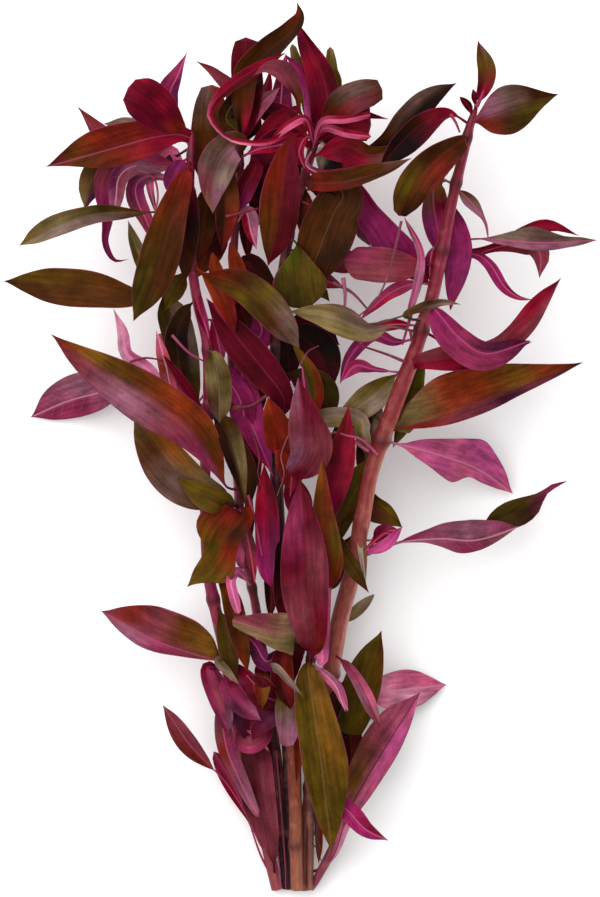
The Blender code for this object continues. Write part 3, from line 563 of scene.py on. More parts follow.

    # Each half takes its own colour, partly painted light and shade of the fold
    halfway = add(tree, "ShaderNodeMapRange", [across, -TINT_BLEND, TINT_BLEND, 0.0, 1.0],
                  interpolation_type="SMOOTHSTEP")
    seen = add(tree, "ShaderNodeMix", [halfway, sampled["right_tint"], sampled["left_tint"]],
               data_type="RGBA")
    flat = add(tree, "ShaderNodeMapRange", [spread, 1.5, 4.0, 0.0, 1.0], clamp=True)
    turned = add(tree, "ShaderNodeMath", [1.0, is_top], operation="SUBTRACT")
    turned = add(tree, "ShaderNodeMath", [turned, flat], operation="MULTIPLY")
    tint = add(tree, "ShaderNodeMix", [turned, seen, given["Hidden colour"]], data_type="RGBA")
    at = add(tree, "ShaderNodeCombineXYZ", [travel, reach, across])
    stored = (("tint", tint, "FLOAT_COLOR"), ("rib", sampled["rib_tint"], "FLOAT_COLOR"),
              ("leaf_place", at, "FLOAT_VECTOR"), ("under", under, "FLOAT"),
              ("vein", phase, "FLOAT"), ("spread", spread, "FLOAT"))
    blade = grid
    for title, value, kind in stored:
        blade = add(tree, "GeometryNodeStoreNamedAttribute", [blade, True, title, value],
                    data_type=kind)
    blade = add(tree, "GeometryNodeSetPosition", [blade, True, point])
    blade = add(tree, "GeometryNodeMergeByDistance", [blade, True, 1e-7])
    blade = add(tree, "GeometryNodeSetShadeSmooth", [blade, True, True])
    blade = add(tree, "GeometryNodeRealizeInstances", [blade])
    blade = add(tree, "GeometryNodeSetMaterial", [blade, True, given["Material"]])
    add(tree, "NodeGroupOutput", [blade])
    return tree


# How strongly the rib's colour shows on a vein and on the rib, on the upper side and below
VEIN_SHOWS = (0.08, 0.14)
RIB_SHOWS = (0.4, 0.75)
# The red of the rim, and how strongly it shows
RIM_RED = "7a1838"
RIM_SHOWS = 0.15


def leaf_skin():
    """Living leaf, grown: a waxy skin over red and green tissue, satin with fine veins and painted
    sheen.
    """
    material = bpy.data.materials.new("leaf_skin_waxy")
    material.use_nodes = True
    tree = material.node_tree
    shader = tree.nodes["Principled BSDF"]
    tint, rib, spot, under, vein, spread = (
        add(tree, "ShaderNodeAttribute", attribute_name=name).outputs[output]
        for name, output in (("tint", "Color"), ("rib", "Color"), ("leaf_place", "Vector"),
                             ("under", "Fac"), ("vein", "Fac"), ("spread", "Fac"))
    )
    travel, reach, across = add(tree, "ShaderNodeSeparateXYZ", [spot]).outputs
    here = add(tree, "ShaderNodeTexCoord").outputs["Object"]

    # Patches 5 mm across where the green or the red is stronger
    patch = add(tree, "ShaderNodeTexNoise", {"Vector": here, "Scale": cells(5.26), "Detail": 3.0})
    # Streaks along the blade, 9 mm long and 1 mm wide, lighter and darker: partly the skin's own
    # tone and partly painted satin sheen; leaves that lie 40 mm apart have streaks of their own
    stretched = add(tree, "ShaderNodeVectorMath", [spot, (cells(9.1), cells(1.111), 0)],
                    operation="MULTIPLY")
    aside = add(tree, "ShaderNodeVectorMath", {0: here, "Scale": cells(40)}, operation="SCALE")
    stretched = add(tree, "ShaderNodeVectorMath", [stretched, aside])
    streak = add(tree, "ShaderNodeTexNoise", {"Vector": stretched, "Scale": 1.0, "Detail": 3.0})
    # Groups of skin cells, drawn as coarse as 0.5 mm so that they show
    grain = add(tree, "ShaderNodeTexNoise", {"Vector": here, "Scale": cells(0.5), "Detail": 1.0})
    colour = tint
    for pattern, dark, bright in ((patch, 0.72, 1.3), (streak, 0.68, 1.42), (grain, 0.9, 1.1)):
        shade = add(tree, "ShaderNodeMapRange", [pattern, 0.3, 0.7, dark, bright])
        colour = add(tree, "ShaderNodeMix", [1.0, colour, shade], data_type="RGBA",
                     blend_type="MULTIPLY")

    # Side veins 0.25 mm wide, wandering every 3 mm; 1 on a vein, 0 between two
    wander = add(tree, "ShaderNodeTexNoise",
                 {"Vector": here, "Scale": cells(2.86), "Detail": 1.0})
    wander = add(tree, "ShaderNodeMapRange", [wander, 0.0, 1.0, -0.25, 0.25])
    path = vein
    for operation, *other in (("ADD", wander), ("FRACT",), ("SUBTRACT", 0.5), ("ABSOLUTE",)):
        path = add(tree, "ShaderNodeMath", [path, *other], operation=operation)
    line = add(tree, "ShaderNodeMapRange", [path, 0.0, 0.07, 1.0, 0.0],
               interpolation_type="SMOOTHSTEP")
    # The midrib, 0.3 mm to each side
    middle = add(tree, "ShaderNodeMath", [reach], operation="ABSOLUTE")
    middle = add(tree, "ShaderNodeMapRange", [middle, 0.05 * MM, 0.32 * MM, 1.0, 0.0],
                 interpolation_type="SMOOTHSTEP")
    flat = add(tree, "ShaderNodeMapRange", [spread, 1.5, 3.0, 0.0, 1.0])
    fade = add(tree, "ShaderNodeMath", [across], operation="ABSOLUTE")
    fade = add(tree, "ShaderNodeMapRange", [fade, 0.55, 1.0, 1.0, 0.15])
    strength = add(tree, "ShaderNodeMapRange", [under, 0.0, 1.0, *VEIN_SHOWS])
    veins = line
    for factor in (fade, flat):
        veins = add(tree, "ShaderNodeMath", [veins, factor], operation="MULTIPLY")
    drawn = add(tree, "ShaderNodeMath", [veins, strength], operation="MULTIPLY")
    strength = add(tree, "ShaderNodeMapRange", [under, 0.0, 1.0, *RIB_SHOWS])
    ribbed = add(tree, "ShaderNodeMath", [middle, strength], operation="MULTIPLY")
    ribbed = add(tree, "ShaderNodeMath", [ribbed, drawn], operation="MAXIMUM")
    colour = add(tree, "ShaderNodeMix", [ribbed, colour, rib], data_type="RGBA")
    # A thin red line where the rim is only a few cells thick
    edge = add(tree, "ShaderNodeMath", [across], operation="ABSOLUTE")
    edge = add(tree, "ShaderNodeMapRange", [edge, 0.94, 1.0, 0.0, RIM_SHOWS])
    colour = add(tree, "ShaderNodeMix", [edge, colour, linear(RIM_RED)], data_type="RGBA")
    tree.links.new(colour.outputs[2], shader.inputs["Base Color"])

    rough = add(tree, "ShaderNodeMapRange", [patch, 0.3, 0.7, 0.46, 0.34])
    tree.links.new(rough.outputs[0], shader.inputs["Roughness"])
    shader.inputs["Specular IOR Level"].default_value = 0.025
    relief = add(tree, "ShaderNodeMath", [grain, 0.25], operation="MULTIPLY")
    turned = add(tree, "ShaderNodeMapRange", [under, 0.0, 1.0, -0.8, 1.0])
    raised = add(tree, "ShaderNodeMath", [veins, turned], operation="MULTIPLY")
    relief = add(tree, "ShaderNodeMath", [relief, raised], operation="ADD")
    bump = add(tree, "ShaderNodeBump", {"Strength": 0.45, "Distance": 0.1 * MM, "Height": relief})
    tree.links.new(bump.outputs[0], shader.inputs["Normal"])
    return material


BLADE = blade_tree()
SKIN = leaf_skin()


# A power under 1 puts the widest place of a blade nearer its start, and makes its sides fuller
WIDEST_POWER = 0.9
FULL_POWER = 0.85


def lance(place):
    """The width of a lance-shaped blade here, from 0 to 1, as a share of its widest place."""
    along = place**WIDEST_POWER
    return (4 * along * (1 - along)) ** FULL_POWER


def half_width(reach, place):
    """How far this half reaches from the midrib at this place on the blade, from 0 to 1."""
    if len(reach) == 1:
        return reach[0] * STEP * lance(place)
    spot = place * (len(reach) - 1)
    first = min(int(spot), len(reach) - 2)
    near = [reach[min(max(first + step, 0), len(reach) - 1)] for step in (-1, 0, 1, 2)]
    return max(0.0, between(*near, spot - first)) * STEP


def make_leaf(name, stem, leaf, seed, stations=45, light=LAMP_SHARE):
    """The blade and petiole of one leaf, from inside its stem to its tip."""
    path = [place(*spot) for spot in spots(leaf.path)]
    line = smooth_line([stem_point(stem, leaf.row), *path])
    lengths = [(b - a).length for a, b in zip(line, line[1:])]
    total = sum(lengths)
    shares = [sum(lengths[:index]) / total for index in range(len(line))]
    hidden = stem_radius(stem, leaf.row) * JOINT_COVER / total
    stalk = hidden + leaf.stalk * (1 - hidden)
    reaches = [numbers(leaf.left), numbers(leaf.right or leaf.left)]
    halves, lifts = [], []
    for share in shares:
        blade = min(max((share - stalk) / (1 - stalk), 0), 1)
        width = lance(blade)
        radius = PETIOLE_RADIUS + (TIP_RADIUS - PETIOLE_RADIUS) * share**0.5
        rim = radius * (1 - 0.5 * width)
        halves.append((*(max(rim, half_width(reach, blade)) for reach in reaches), radius))
        lifts.append(tuple(height * MM * width for height in (*leaf.lifts, leaf.wave)))
    tints = {}
    for title, words in (("left_tint", leaf.left_tints), ("right_tint", leaf.right_tints)):
        codes = [PALETTE[word] for word in (words or leaf.left_tints).split()]
        tints[title] = [shade_at(codes, along, light) for along in shares]
    tints["rib_tint"] = [linear(PALETTE[leaf.rib], light)] * len(shares)
    up = leaf.side == "under"
    hidden_colour = linear(UPPER_HIDDEN if up else UNDER_HIDDEN)
    return grow(
        guide(name, line, {"halves": halves, "lifts": lifts, **tints}), BLADE,
        {"Stations": stations, "Columns": 33, "Blade half thickness": 0.15 * MM,
         "Vein spacing": 3.4 * MM, "Pucker height": 0.08 * MM, "Wave length": 9 * MM,
         "Seed": seed, "Underside up": float(up), "Hidden colour": hidden_colour,
         "Material": SKIN},
    )


def place_leaves(stem, leaves):
    """Makes the leaves that are nodes of their own, each in place of its node."""
    for number, (name, leaf) in enumerate(leaves.items()):
        piece = make_leaf(name + "_blade", stem, leaf, number + 1)
        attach(piece, "root")
        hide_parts(name)


# Young leaves are thinner and let more light through, and that light is painted into them as
# brighter colours. Many that lie deep in the bunch are painted near black, as painted shade. They
# are small, so they have fewer stations along them, and their margins wave otherwise than those of
# the large leaves.
YOUNG_SHARE = 0.79
YOUNG_STATIONS = 29
YOUNG_SEED = 40


def join(parts, name):
    """Makes one object of the parts, under this name."""
    with bpy.context.temp_override(
        active_object=parts[0], object=parts[0], selected_objects=parts,
        selected_editable_objects=parts,
    ):
        bpy.ops.object.join()
    parts[0].name = name
    return parts[0]


def place_young(stem, leaves):
    """Makes the young leaves of a stem as one piece, because they belong to the stem's node."""
    parts = [
        make_leaf(f"young_{stem}_{number}", stem, leaf, number + YOUNG_SEED, YOUNG_STATIONS,
                  YOUNG_SHARE)
        for number, leaf in enumerate(leaves)
    ]
    piece = join(parts, f"young_leaves_{stem}")
    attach(piece, "root")
    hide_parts(f"stem_{stem}")

LEFT_LEAVES = {
    "leaf_left_01": Leaf(139, "176 135.5 46, 148 140 48, 116 149 49, 80 159 48, 46 168 46",
        "6 11 16 19 19 16 10 4 0", "8 13 18 21 23 23 18 9 0", "crimson crimson rust brown rust",
        "crimson crimson rust rust brown wine", "rose", 0.5, stalk=0.02, lifts=(1.5, 2)),
    "leaf_left_02": Leaf(136, "168 119 52, 148 102 57, 129 90 58", "0 6 13 19 22 23 21 12",
        "0 6 12 17 20 21 19 10", "crimson rust wine wine wine",
        "crimson rust wine crimson wine crimson", "crimson", 0.7, stalk=0.02, lifts=(2, 1),
        slot="leaf_magenta"),
    "leaf_left_03": Leaf(165, "150 163 38, 112 145 36, 77 106 34", "0 8 12 13 12 9 4 0",
        "0 8 12 14 13 10 5 0", "crimson mauve brick brick", "crimson berry brick rust", "rust", 0.5),
    "leaf_left_04": Leaf(170,
        "160 163 33, 135 163 33, 112 175 32, 106 195 31, 107 220 30, 105 243 30, 114 260 30, "
        "129 259 30", "0 2 6 9 11 8 4 3 0", "0 2 10 17 14 8 4 2.5 0",
        "crimson wine berry berry magenta violet crimson",
        "violet crimson violet brick magenta violet crimson", "berry", 0.5, "under",
        slot="leaf_magenta"),
    "leaf_left_05": Leaf(210, "150 213 45, 125 213 45, 95 215 43, 57 226 41, 19 246 38",
        "0 5 8 9 10 11 10 7 0", "0 3 7 9 10 11 11 8 0", "mauve umber taupe grey khaki",
        "crimson umber moss khaki olive", "khaki", 0.5, stalk=0.2, lifts=(1.5, 1),
        slot="leaf_olive"),
    "leaf_left_06": Leaf(162, "185 178 53, 172 215 57, 158 262 56, 134 322 49",
        "0 9 14 18 21 21 14 0", "0 8 13 17 19 17 12 0", "crimson rust umber umber moss",
        "crimson rust brown moss moss", "umber", 0.7, lifts=(2, 1.5)),
    "leaf_left_07": Leaf(272, "235 283 49, 262 302 52, 285 330 52, 300 349 50",
        "0 8 14 17 18 17 12 0", "0 10 14 16 17 15 10 0", "rust rust umber olive taupe taupe",
        "rust brown olive umber taupe", "rust", 0.5, lifts=(1, 1.5), slot="leaf_olive"),
    "leaf_left_08": Leaf(350, "214 356 42, 219 385 44, 220 424 42", "0 7 11 13 13 12 9 0",
        "0 8 12 13 13 12 8 0", "umber khaki moss khaki umber", "umber moss khaki umber taupe",
        "grey", 0.4, slot="leaf_olive"),
    "leaf_left_09": Leaf(412, "194 395 29, 182 350 28, 163 291 26", "0 7 11 14 15 15 12 0",
        "0 8 12 15 17 18 14 0", "brown moss moss moss", "rust moss grey moss", "moss", 0.5,
        slot="leaf_olive"),
    "leaf_left_10": Leaf(415, "223 425 43, 236 460 48, 246 507 45", "0 8 13 13 11 8 4 0",
        "0 8 10 11 10 7 4 0", "olive umber khaki umber", "umber bark black umber", "umber", 0.5),
    "leaf_left_11": Leaf(882, "272 850 11, 262 800 15, 256 760 16, 252 736 16",
        "0 6 12 18 21 20 15 8", "0 5 9 12 14 15 15 9", "wine brick maroon brick",
        "wine brick brick wine", "plum", 0.6),
    "leaf_left_12": Leaf(432, "165 395 25, 125 382 18, 98 392 9, 65 401 2.5, 28 417 1.2",
        "0 4 8 12 17 19 18 12 0", "0 6 12 18 23 25 23 16 0", "crimson berry mauve berry berry",
        "crimson magenta violet mauve berry", "pale", 0.5, "under", stalk=0.3, slot="leaf_magenta"),
    "leaf_left_13": Leaf(572, "226 590 32.3, 236 625 33.3, 248 673 31", "0 7 11 12 11 9 6 0",
        "0 5 8 9 9 8 5 0", "umber rust brown umber", "umber brown umber rust", "rust", 0.5),
    "leaf_left_14": Leaf(660, "212 660 24, 182 651 24, 150 639 22, 100 612 15",
        "0 2 5 8 11 12 10 6 0", "6 22 31 34 34 32 25 14 0", "crimson brick berry mauve brick",
        "olive bronze brown brick rust brick", "rose", 0.5, stalk=0.02, lifts=(1.5, 2)),
    "leaf_left_15": Leaf(840,
        "262 850 11, 245 815 13, 226 785 15, 207 765 17, 186 742 18, 162 706 19",
        "0 5 9 11 11 9 5 0", "0 4 7 9 9 8 5 0", "brick brick rust brick",
        "crimson brick brick brick", "rose", 0.6, stalk=0.56),
    "leaf_left_16": Leaf(800, "258 818 15, 243 790 17, 228 755 20, 222 725 21, 219 697 20",
        "0 3 5 6 7 9 9 6 0", "0 4 7 9 10 10 9 6 0", "crimson mauve rust mauve",
        "brick mauve berry brick", "rose", 0.4, "under", slot="leaf_magenta"),
    "leaf_left_17": Leaf(245, "168 278 43, 140 296 43, 98 290 42, 52 285 39, 3 281 33",
        "0 10 16 19 20 17 9 0", "0 8 14 18 18 16 9 0", "umber brown umber", "umber brown olive",
        "brown", 0.4, stalk=0.24, slot="leaf_olive"),
}
LEFT_YOUNG = (
    Leaf(150, "178 122 43.5, 170 97 46, 178 77 48, 188 53 49", "0 2 5 10 12 9 4 0",
        "0 2 4 8 8 5 2 0", "crimson crimson magenta berry berry", "wine wine violet violet berry",
        "rose", 0.4, "under"),
    Leaf(155, "180 168 44, 168 195 45", "0 8 11 12 9 0", "0 8 11 11 8 0",
        "crimson violet violet violet", "", "magenta", 0.7, "under"),
    Leaf(148, "165 160 31, 130 158 26, 104 172 23, 90 190 21, 84 210 20", "0 9 15 17 16 10 0",
        "0 8 13 19 21 15 0", "violet plum violet plum plum", "plum plum plum umber khaki", "plum",
        0.7, stalk=0.14),
    Leaf(184, "152 176 35.3, 137 184 35.6, 137 200 37.5, 147 222 39, 155 246 39", "0 3 5 8 9 8 5 0",
        "0 3 6 9 10 8 5 0", "crimson mauve violet berry brick", "magenta mauve violet brick berry",
        "rose", 0.5, "under"),
    # Painted shade: a near black leaf in the dark hollow under the upper leaves
    Leaf(166, "188 190 48, 186 235 49, 185 285 46", "0 8 12 14 12 8 0", "0 8 11 12 10 6 0",
        "crimson maroon black bark umber", "rust rust black bark umber", "maroon", 0.5),
    Leaf(420, "185 385 37, 163 355 38", "5", "", "wine wine maroon", "", "crimson", 0.5),
    Leaf(445, "170 400 34, 148 370 33, 127 354 33, 123 332 33, 113 308 33", "0 4 6 7 7 6 0",
        "0 4 6 7 6 5 0", "berry rose pale pale", "rose pale pink pale", "pale", 0.7, "under"),
    Leaf(430, "175 395 34, 165 362 34, 156 330 34", "0 5 7 8 6 0", "0 4 6 6 5 0",
        "crimson rose sienna rose", "", "pale", 0.7, "under"),
    Leaf(674, "207 668 25, 214 698 25, 227 732 25", "0 5 8 9 8 5 0", "0 5 7 7 6 4 0",
        "plum berry brick berry", "plum wine berry plum", "berry", 0.6, "under"),
    Leaf(669, "228 688 27, 243 708 27, 262 722 27", "0 8 12 12 9 0", "0 7 10 10 7 0",
        "berry wine berry mauve", "wine berry plum berry", "berry", 0.6, "under"),
    Leaf(648, "243 690 25, 258 710 25, 271 732 24", "0 9 14 15 11 0", "0 9 13 13 10 0",
        "berry plum wine berry", "wine wine berry wine", "berry", 0.6, "under"),
    Leaf(886, "260 858 4.5, 245 815 4.5, 228 780 4.5, 213 754 4.5", "0 3 6 8 9 9 7 3", "",
        "crimson magenta crimson berry", "magenta crimson berry crimson", "rose", 0.7, stalk=0.4),
    Leaf(142, "150 130 40, 104 124 40", "0 6 8 9 8 0", "", "wine wine taupe grey",
        "crimson taupe grey grey", "grey", 0.6),
    Leaf(200, "172 150 34, 150 176 34, 158 222 33", "0 4 5 5 3 0", "", "ruby rose rose magenta", "",
        "pale", 0.5, "under"),
    Leaf(270, "158 282 38, 145 266 38, 135 245 38, 128 220 37", "0 5 8 8 6 4 0", "0 5 9 10 8 5 0",
        "moss khaki moss khaki", "olive moss khaki moss", "khaki", 0.5),
    Leaf(300, "186 310 33, 176 340 33, 184 385 33", "0 8 11 12 8 0", "", "umber black bark",
        "moss black umber", "umber", 0.5),
    Leaf(350, "208 335 38, 201 312 39, 195 284 39", "0 3 5 5 4 0", "", "magenta wine crimson",
        "crimson magenta wine", "rose", 0.5, "under"),
    Leaf(390, "192 405 30, 176 385 31, 158 352 32", "0 4 5 5 3 0", "", "crimson rose sienna", "",
        "rose", 0.6, "under"),
    Leaf(405, "186 402 30, 176 378 31, 170 345 32", "0 4 5 5 3 0", "", "wine sienna wine", "",
        "rose", 0.6, "under"),
    Leaf(600, "224 625 26, 230 660 26, 238 680 26", "0 8 10 10 7 0", "", "umber moss umber", "",
        "brown", 0.6),
    Leaf(655, "214 670 22, 219 700 22, 228 738 22", "0 8 11 12 9 0", "0 4 6 6 5 0",
        "plum berry mauve plum", "plum violet berry wine", "berry", 0.6, "under"),
    Leaf(656, "232 668 24, 250 690 25, 262 712 25", "0 8 12 13 9 0", "0 8 12 12 9 0",
        "berry wine crimson wine", "wine berry plum maroon", "crimson", 0.8),
    Leaf(720, "244 745 20, 262 740 22, 272 722 22", "0 7 9 9 6 0", "0 6 9 9 6 0", "berry brick wine",
        "wine berry wine", "brick", 0.5, "under"),
    Leaf(410, "225 430 33, 245 470 33, 252 505 31", "0 8 12 12 8 0", "", "umber umber black",
        "bark black bark", "brown", 0.6),
    Leaf(265, "214 284 43, 226 306 43, 236 335 41", "0 7 9 9 6 0", "0 7 10 10 6 0",
        "sienna sienna rust wine", "", "rust", 0.5),
    Leaf(350, "222 372 35, 240 400 34, 248 440 32", "0 10 13 14 9 0", "", "violet magenta wine",
        "wine magenta violet", "rose", 0.6, "under"),
    Leaf(660, "222 668 20, 238 692 20, 246 720 20, 250 748 19", "0 10 15 15 11 0", "",
        "maroon plum maroon wine", "maroon wine plum maroon", "wine", 0.5),
    Leaf(655, "218 662 30, 228 673 31, 240 686 30", "0 3 5 5 3 0", "0 3 4 4 3 0", "grey moss grey",
        "moss grey khaki", "khaki", 0.4),
    Leaf(720, "252 733 20, 260 741 20, 269 753 19", "0 2.5 3 2.5 0", "", "pale rose pale", "",
        "pale", 0.3, "under"),
    Leaf(268, "188 270 40, 176 288 39, 164 312 38", "0 8 10 9 4 0", "", "rust umber moss olive",
        "umber moss olive umber", "umber", 0.4),
    Leaf(320, "213 322 35, 219 345 35, 223 366 35", "0 5 8 7 4 0", "", "crimson violet berry",
        "magenta crimson violet", "rose", 0.4, "under"),
    Leaf(170, "150 166 37, 132 167 38, 119 178 38.5, 116 200 38.5, 112 224 38", "0 3 8 10 9 6 0", "",
        "violet mauve brick mauve", "violet mauve violet mauve", "pale", 0.5, "under"),
)
place_leaves("left", LEFT_LEAVES)
place_young("left", LEFT_YOUNG)

# The leaves of the inner stem
# The same soft leaves on the thin crimson stem in the middle of the bunch. Its crown curls over
# in a dark boat of young leaves, and its oldest leaf lies right across the bunch to the left.
INNER_LEAVES = {
    "leaf_inner_01": Leaf(218, "228 202 36, 214 165 37.5, 211 125 38, 212 85 38",
        "0 10 17 21 21 19 16 10", "0 8 14 18 18 17 14 9", "umber rust brown taupe",
        "brown rust umber rust", "umber", 0.6),
    "leaf_inner_02": Leaf(160, "236 146 45.5, 222 160 46, 213 188 46, 213 215 44",
        "0 9 15 17 17 14 8 0", "0 9 16 20 20 14 7 0", "umber brick mauve taupe grey mauve mauve",
        "umber brown taupe brick tan", "mauve", 0.4, stalk=0.03),
    "leaf_inner_03": Leaf(152,
        "242 130 43.5, 243 95 46.5, 248 72 47, 268 52 48, 290 33 48, 300 18 47, 297 3 46",
        "0 5 10 12 13 13 11 8 0", "0 6 11 12 12 12 9 6 0", "bark bark brown umber umber rust",
        "bark crimson brown bark umber bark", "brown", 0.5, lifts=(2, 1)),
    "leaf_inner_04": Leaf(508, "222 496 32, 200 484 34.5, 170 458 36, 133 412 34",
        "0 14 27 32 31 25 15 0", "0 8 12 15 16 14 9 0", "rust brown taupe brown khaki",
        "brown khaki amber olive", "khaki", 0.5, slot="leaf_olive"),
    "leaf_inner_05": Leaf(515, "244 515 34, 226 536 36, 214 560 34, 187 587 32",
        "0 10 14 16 18 26 10 0", "0 14 24 34 18 12 8 0", "wine rust umber rust olive bronze",
        "wine maroon rust olive bronze olive", "olive", 0.7, slot="leaf_olive"),
    "leaf_inner_06": Leaf(490,
        "226 486 41, 214 465 43, 200 443 45, 183 423 47, 155 403 48, 118 380 46, 80 355 43, "
        "51 334 41", "0 8 17 24 27 24 19 11 0", "0 14 23 24 24 22 16 8 0",
        "crimson brick berry brick mauve brick rust", "crimson rust brown sienna brown bronze rust",
        "brick", 0.5, stalk=0.18, lifts=(2, 2)),
}
INNER_YOUNG = (
    Leaf(148, "239 134 40.5, 226 118 41.5, 242 95 42.5, 262 80 42.5", "0 5 8 9 8 5 0",
        "0 12 18 18 13 6 0", "umber umber black black", "umber moss black black bark", "khaki", 0.5),
    Leaf(156, "248 100 41, 246 70 42, 246 38 42", "0 8 12 14 15 15 14 10", "0 8 12 14 16 16 15 11",
        "maroon wine maroon", "wine maroon maroon", "crimson", 0.7),
    Leaf(162, "236 100 33, 216 74 33, 195 60 33", "0 6 9 9 7 4 0", "0 7 10 10 7 4 0",
        "crimson brick brick", "", "crimson", 0.5),
    Leaf(174, "256 165 40, 244 190 40, 238 213 38", "0 7 10 11 9 0", "0 7 9 9 7 0",
        "wine wine violet", "wine maroon wine", "crimson", 0.6),
    Leaf(225, "246 212 37, 251 232 38, 257 250 38", "0 7 10 8 4 0", "0 5 7 6 4 0",
        "mauve mauve rose", "crimson crimson crimson", "pale", 0.8, "under"),
    Leaf(165, "229 185 42, 226 215 43, 222 254 40", "0 8 12 13 10 6 0", "0 7 10 11 9 5 0",
        "umber brown rust maroon", "bark umber bark maroon", "brown", 0.5),
    Leaf(300, "220 285 36, 212 252 37", "8", "", "sienna sienna sienna", "", "rust", 0.6),
    Leaf(310, "240 285 36, 230 242 38", "9", "", "rust sienna sienna", "", "crimson", 0.6),
    Leaf(572, "240 560 28, 242 520 30", "5", "", "berry rose berry", "", "rose", 0.5, "under"),
    Leaf(588, "238 572 29, 231 580 34.5, 234 597 35.8, 239 615 35", "0 4 5 5 5 5 3", "",
        "pink rose pink rose", "rose pink rose pink", "pale", 0.4, "under"),
    Leaf(672, "276 668 36, 289 681 39, 304 697 39", "0 4 5 5 4 3 0", "", "grey taupe grey taupe",
        "taupe grey taupe taupe", "grey", 0.4),
    Leaf(680, "262 700 20, 255 716 21", "10", "", "moss moss moss", "", "rust", 0.5),
    Leaf(150, "250 120 39, 262 104 40, 280 88 40", "0 5 7 8 6 0", "0 5 8 8 6 0",
        "crimson rose brick taupe", "ruby rose mauve", "rose", 0.7, "under"),
    Leaf(158, "262 145 35, 282 124 35, 300 104 34", "0 10 14 15 10 0", "0 10 13 14 10 0",
        "wine crimson wine", "maroon wine crimson", "crimson", 0.7),
    Leaf(158, "258 150 44, 275 147 46, 296 142 47", "0 3 4 5 5 0", "0 3 5 6 5 0",
        "crimson magenta crimson", "ruby crimson crimson", "rose", 0.4, "under"),
    Leaf(180, "252 182 33, 256 205 32", "0 8 10 10 6 0", "", "black black maroon", "", "maroon",
        0.4),
    Leaf(225, "222 232 31, 207 250 30, 197 278 30", "0 12 16 16 10 0", "0 12 15 15 9 0",
        "bark maroon brown", "umber bark rust", "brown", 0.6),
    Leaf(215, "212 195 34, 204 225 33, 198 262 33", "0 10 13 13 9 0", "0 9 12 12 8 0",
        "umber bark umber maroon", "brown umber bark", "brown", 0.6),
    Leaf(275, "248 262 31, 262 290 31, 275 320 30", "0 12 15 15 10 0", "", "maroon bark umber",
        "wine bark maroon", "umber", 0.6),
    Leaf(360, "250 345 29, 262 330 29, 250 305 29", "0 10 13 13 8 0", "", "magenta violet magenta",
        "wine magenta violet", "rose", 0.7, "under"),
    Leaf(410, "245 425 29, 252 458 29, 258 488 28", "0 8 10 10 6 0", "", "wine brick wine",
        "crimson brick rust", "rose", 0.7),
    Leaf(505, "244 525 30, 250 550 30, 255 585 29", "0 4 6 6 4 0", "", "crimson brick crimson", "",
        "rose", 0.6, "under"),
    Leaf(512, "232 520 32, 222 545 33, 218 572 32", "0 10 14 14 9 0", "0 8 12 12 8 0",
        "maroon wine rust", "maroon rust umber", "rust", 0.7),
    Leaf(655, "262 668 22, 272 690 22, 272 722 21", "0 9 12 12 8 0", "", "maroon bark maroon",
        "wine maroon bark", "rust", 0.7),
    Leaf(790, "273 765 9, 268 742 11, 262 722 13", "0 4 6 6 4 0", "", "bark maroon plum", "", "rust",
        0.5),
    Leaf(508, "222 500 37, 200 490 37, 177 478 36", "0 8 13 17 16 9 0", "0 6 9 9 8 5 0",
        "rust umber olive olive", "umber olive olive olive", "umber", 0.7),
    Leaf(668, "262 684 30, 262 700 31, 260 714 30", "0 7 10 9 5 0", "", "rust bronze brown",
        "brown rust umber", "rust", 0.4),
    Leaf(290, "238 298 30, 244 315 30, 248 333 30", "0 7 9 8 5 0", "", "maroon bark umber",
        "bark maroon bark", "rust", 0.4),
    Leaf(220, "246 212 30, 247 235 30, 248 262 30", "0 6 8 7 4 0", "", "maroon wine maroon",
        "bark maroon bark", "rust", 0.4),
    Leaf(500, "246 490 28, 249 515 28, 250 548 28", "0 4 5 5 3 0", "0 3 4 4 3 0", "wine brick wine",
        "crimson brick wine", "rust", 0.4),
    Leaf(150, "262 100 38, 268 86 38, 270 68 38", "0 4 7 7 4 0", "", "crimson mauve wine",
        "wine crimson wine", "crimson", 0.3, "under"),
    Leaf(150, "248 135 38, 256 125 38, 258 112 38", "0 4 6 6 4 0", "", "black maroon black",
        "black black maroon", "maroon", 0.3),
)
place_leaves("inner", INNER_LEAVES)
place_young("inner", INNER_YOUNG)

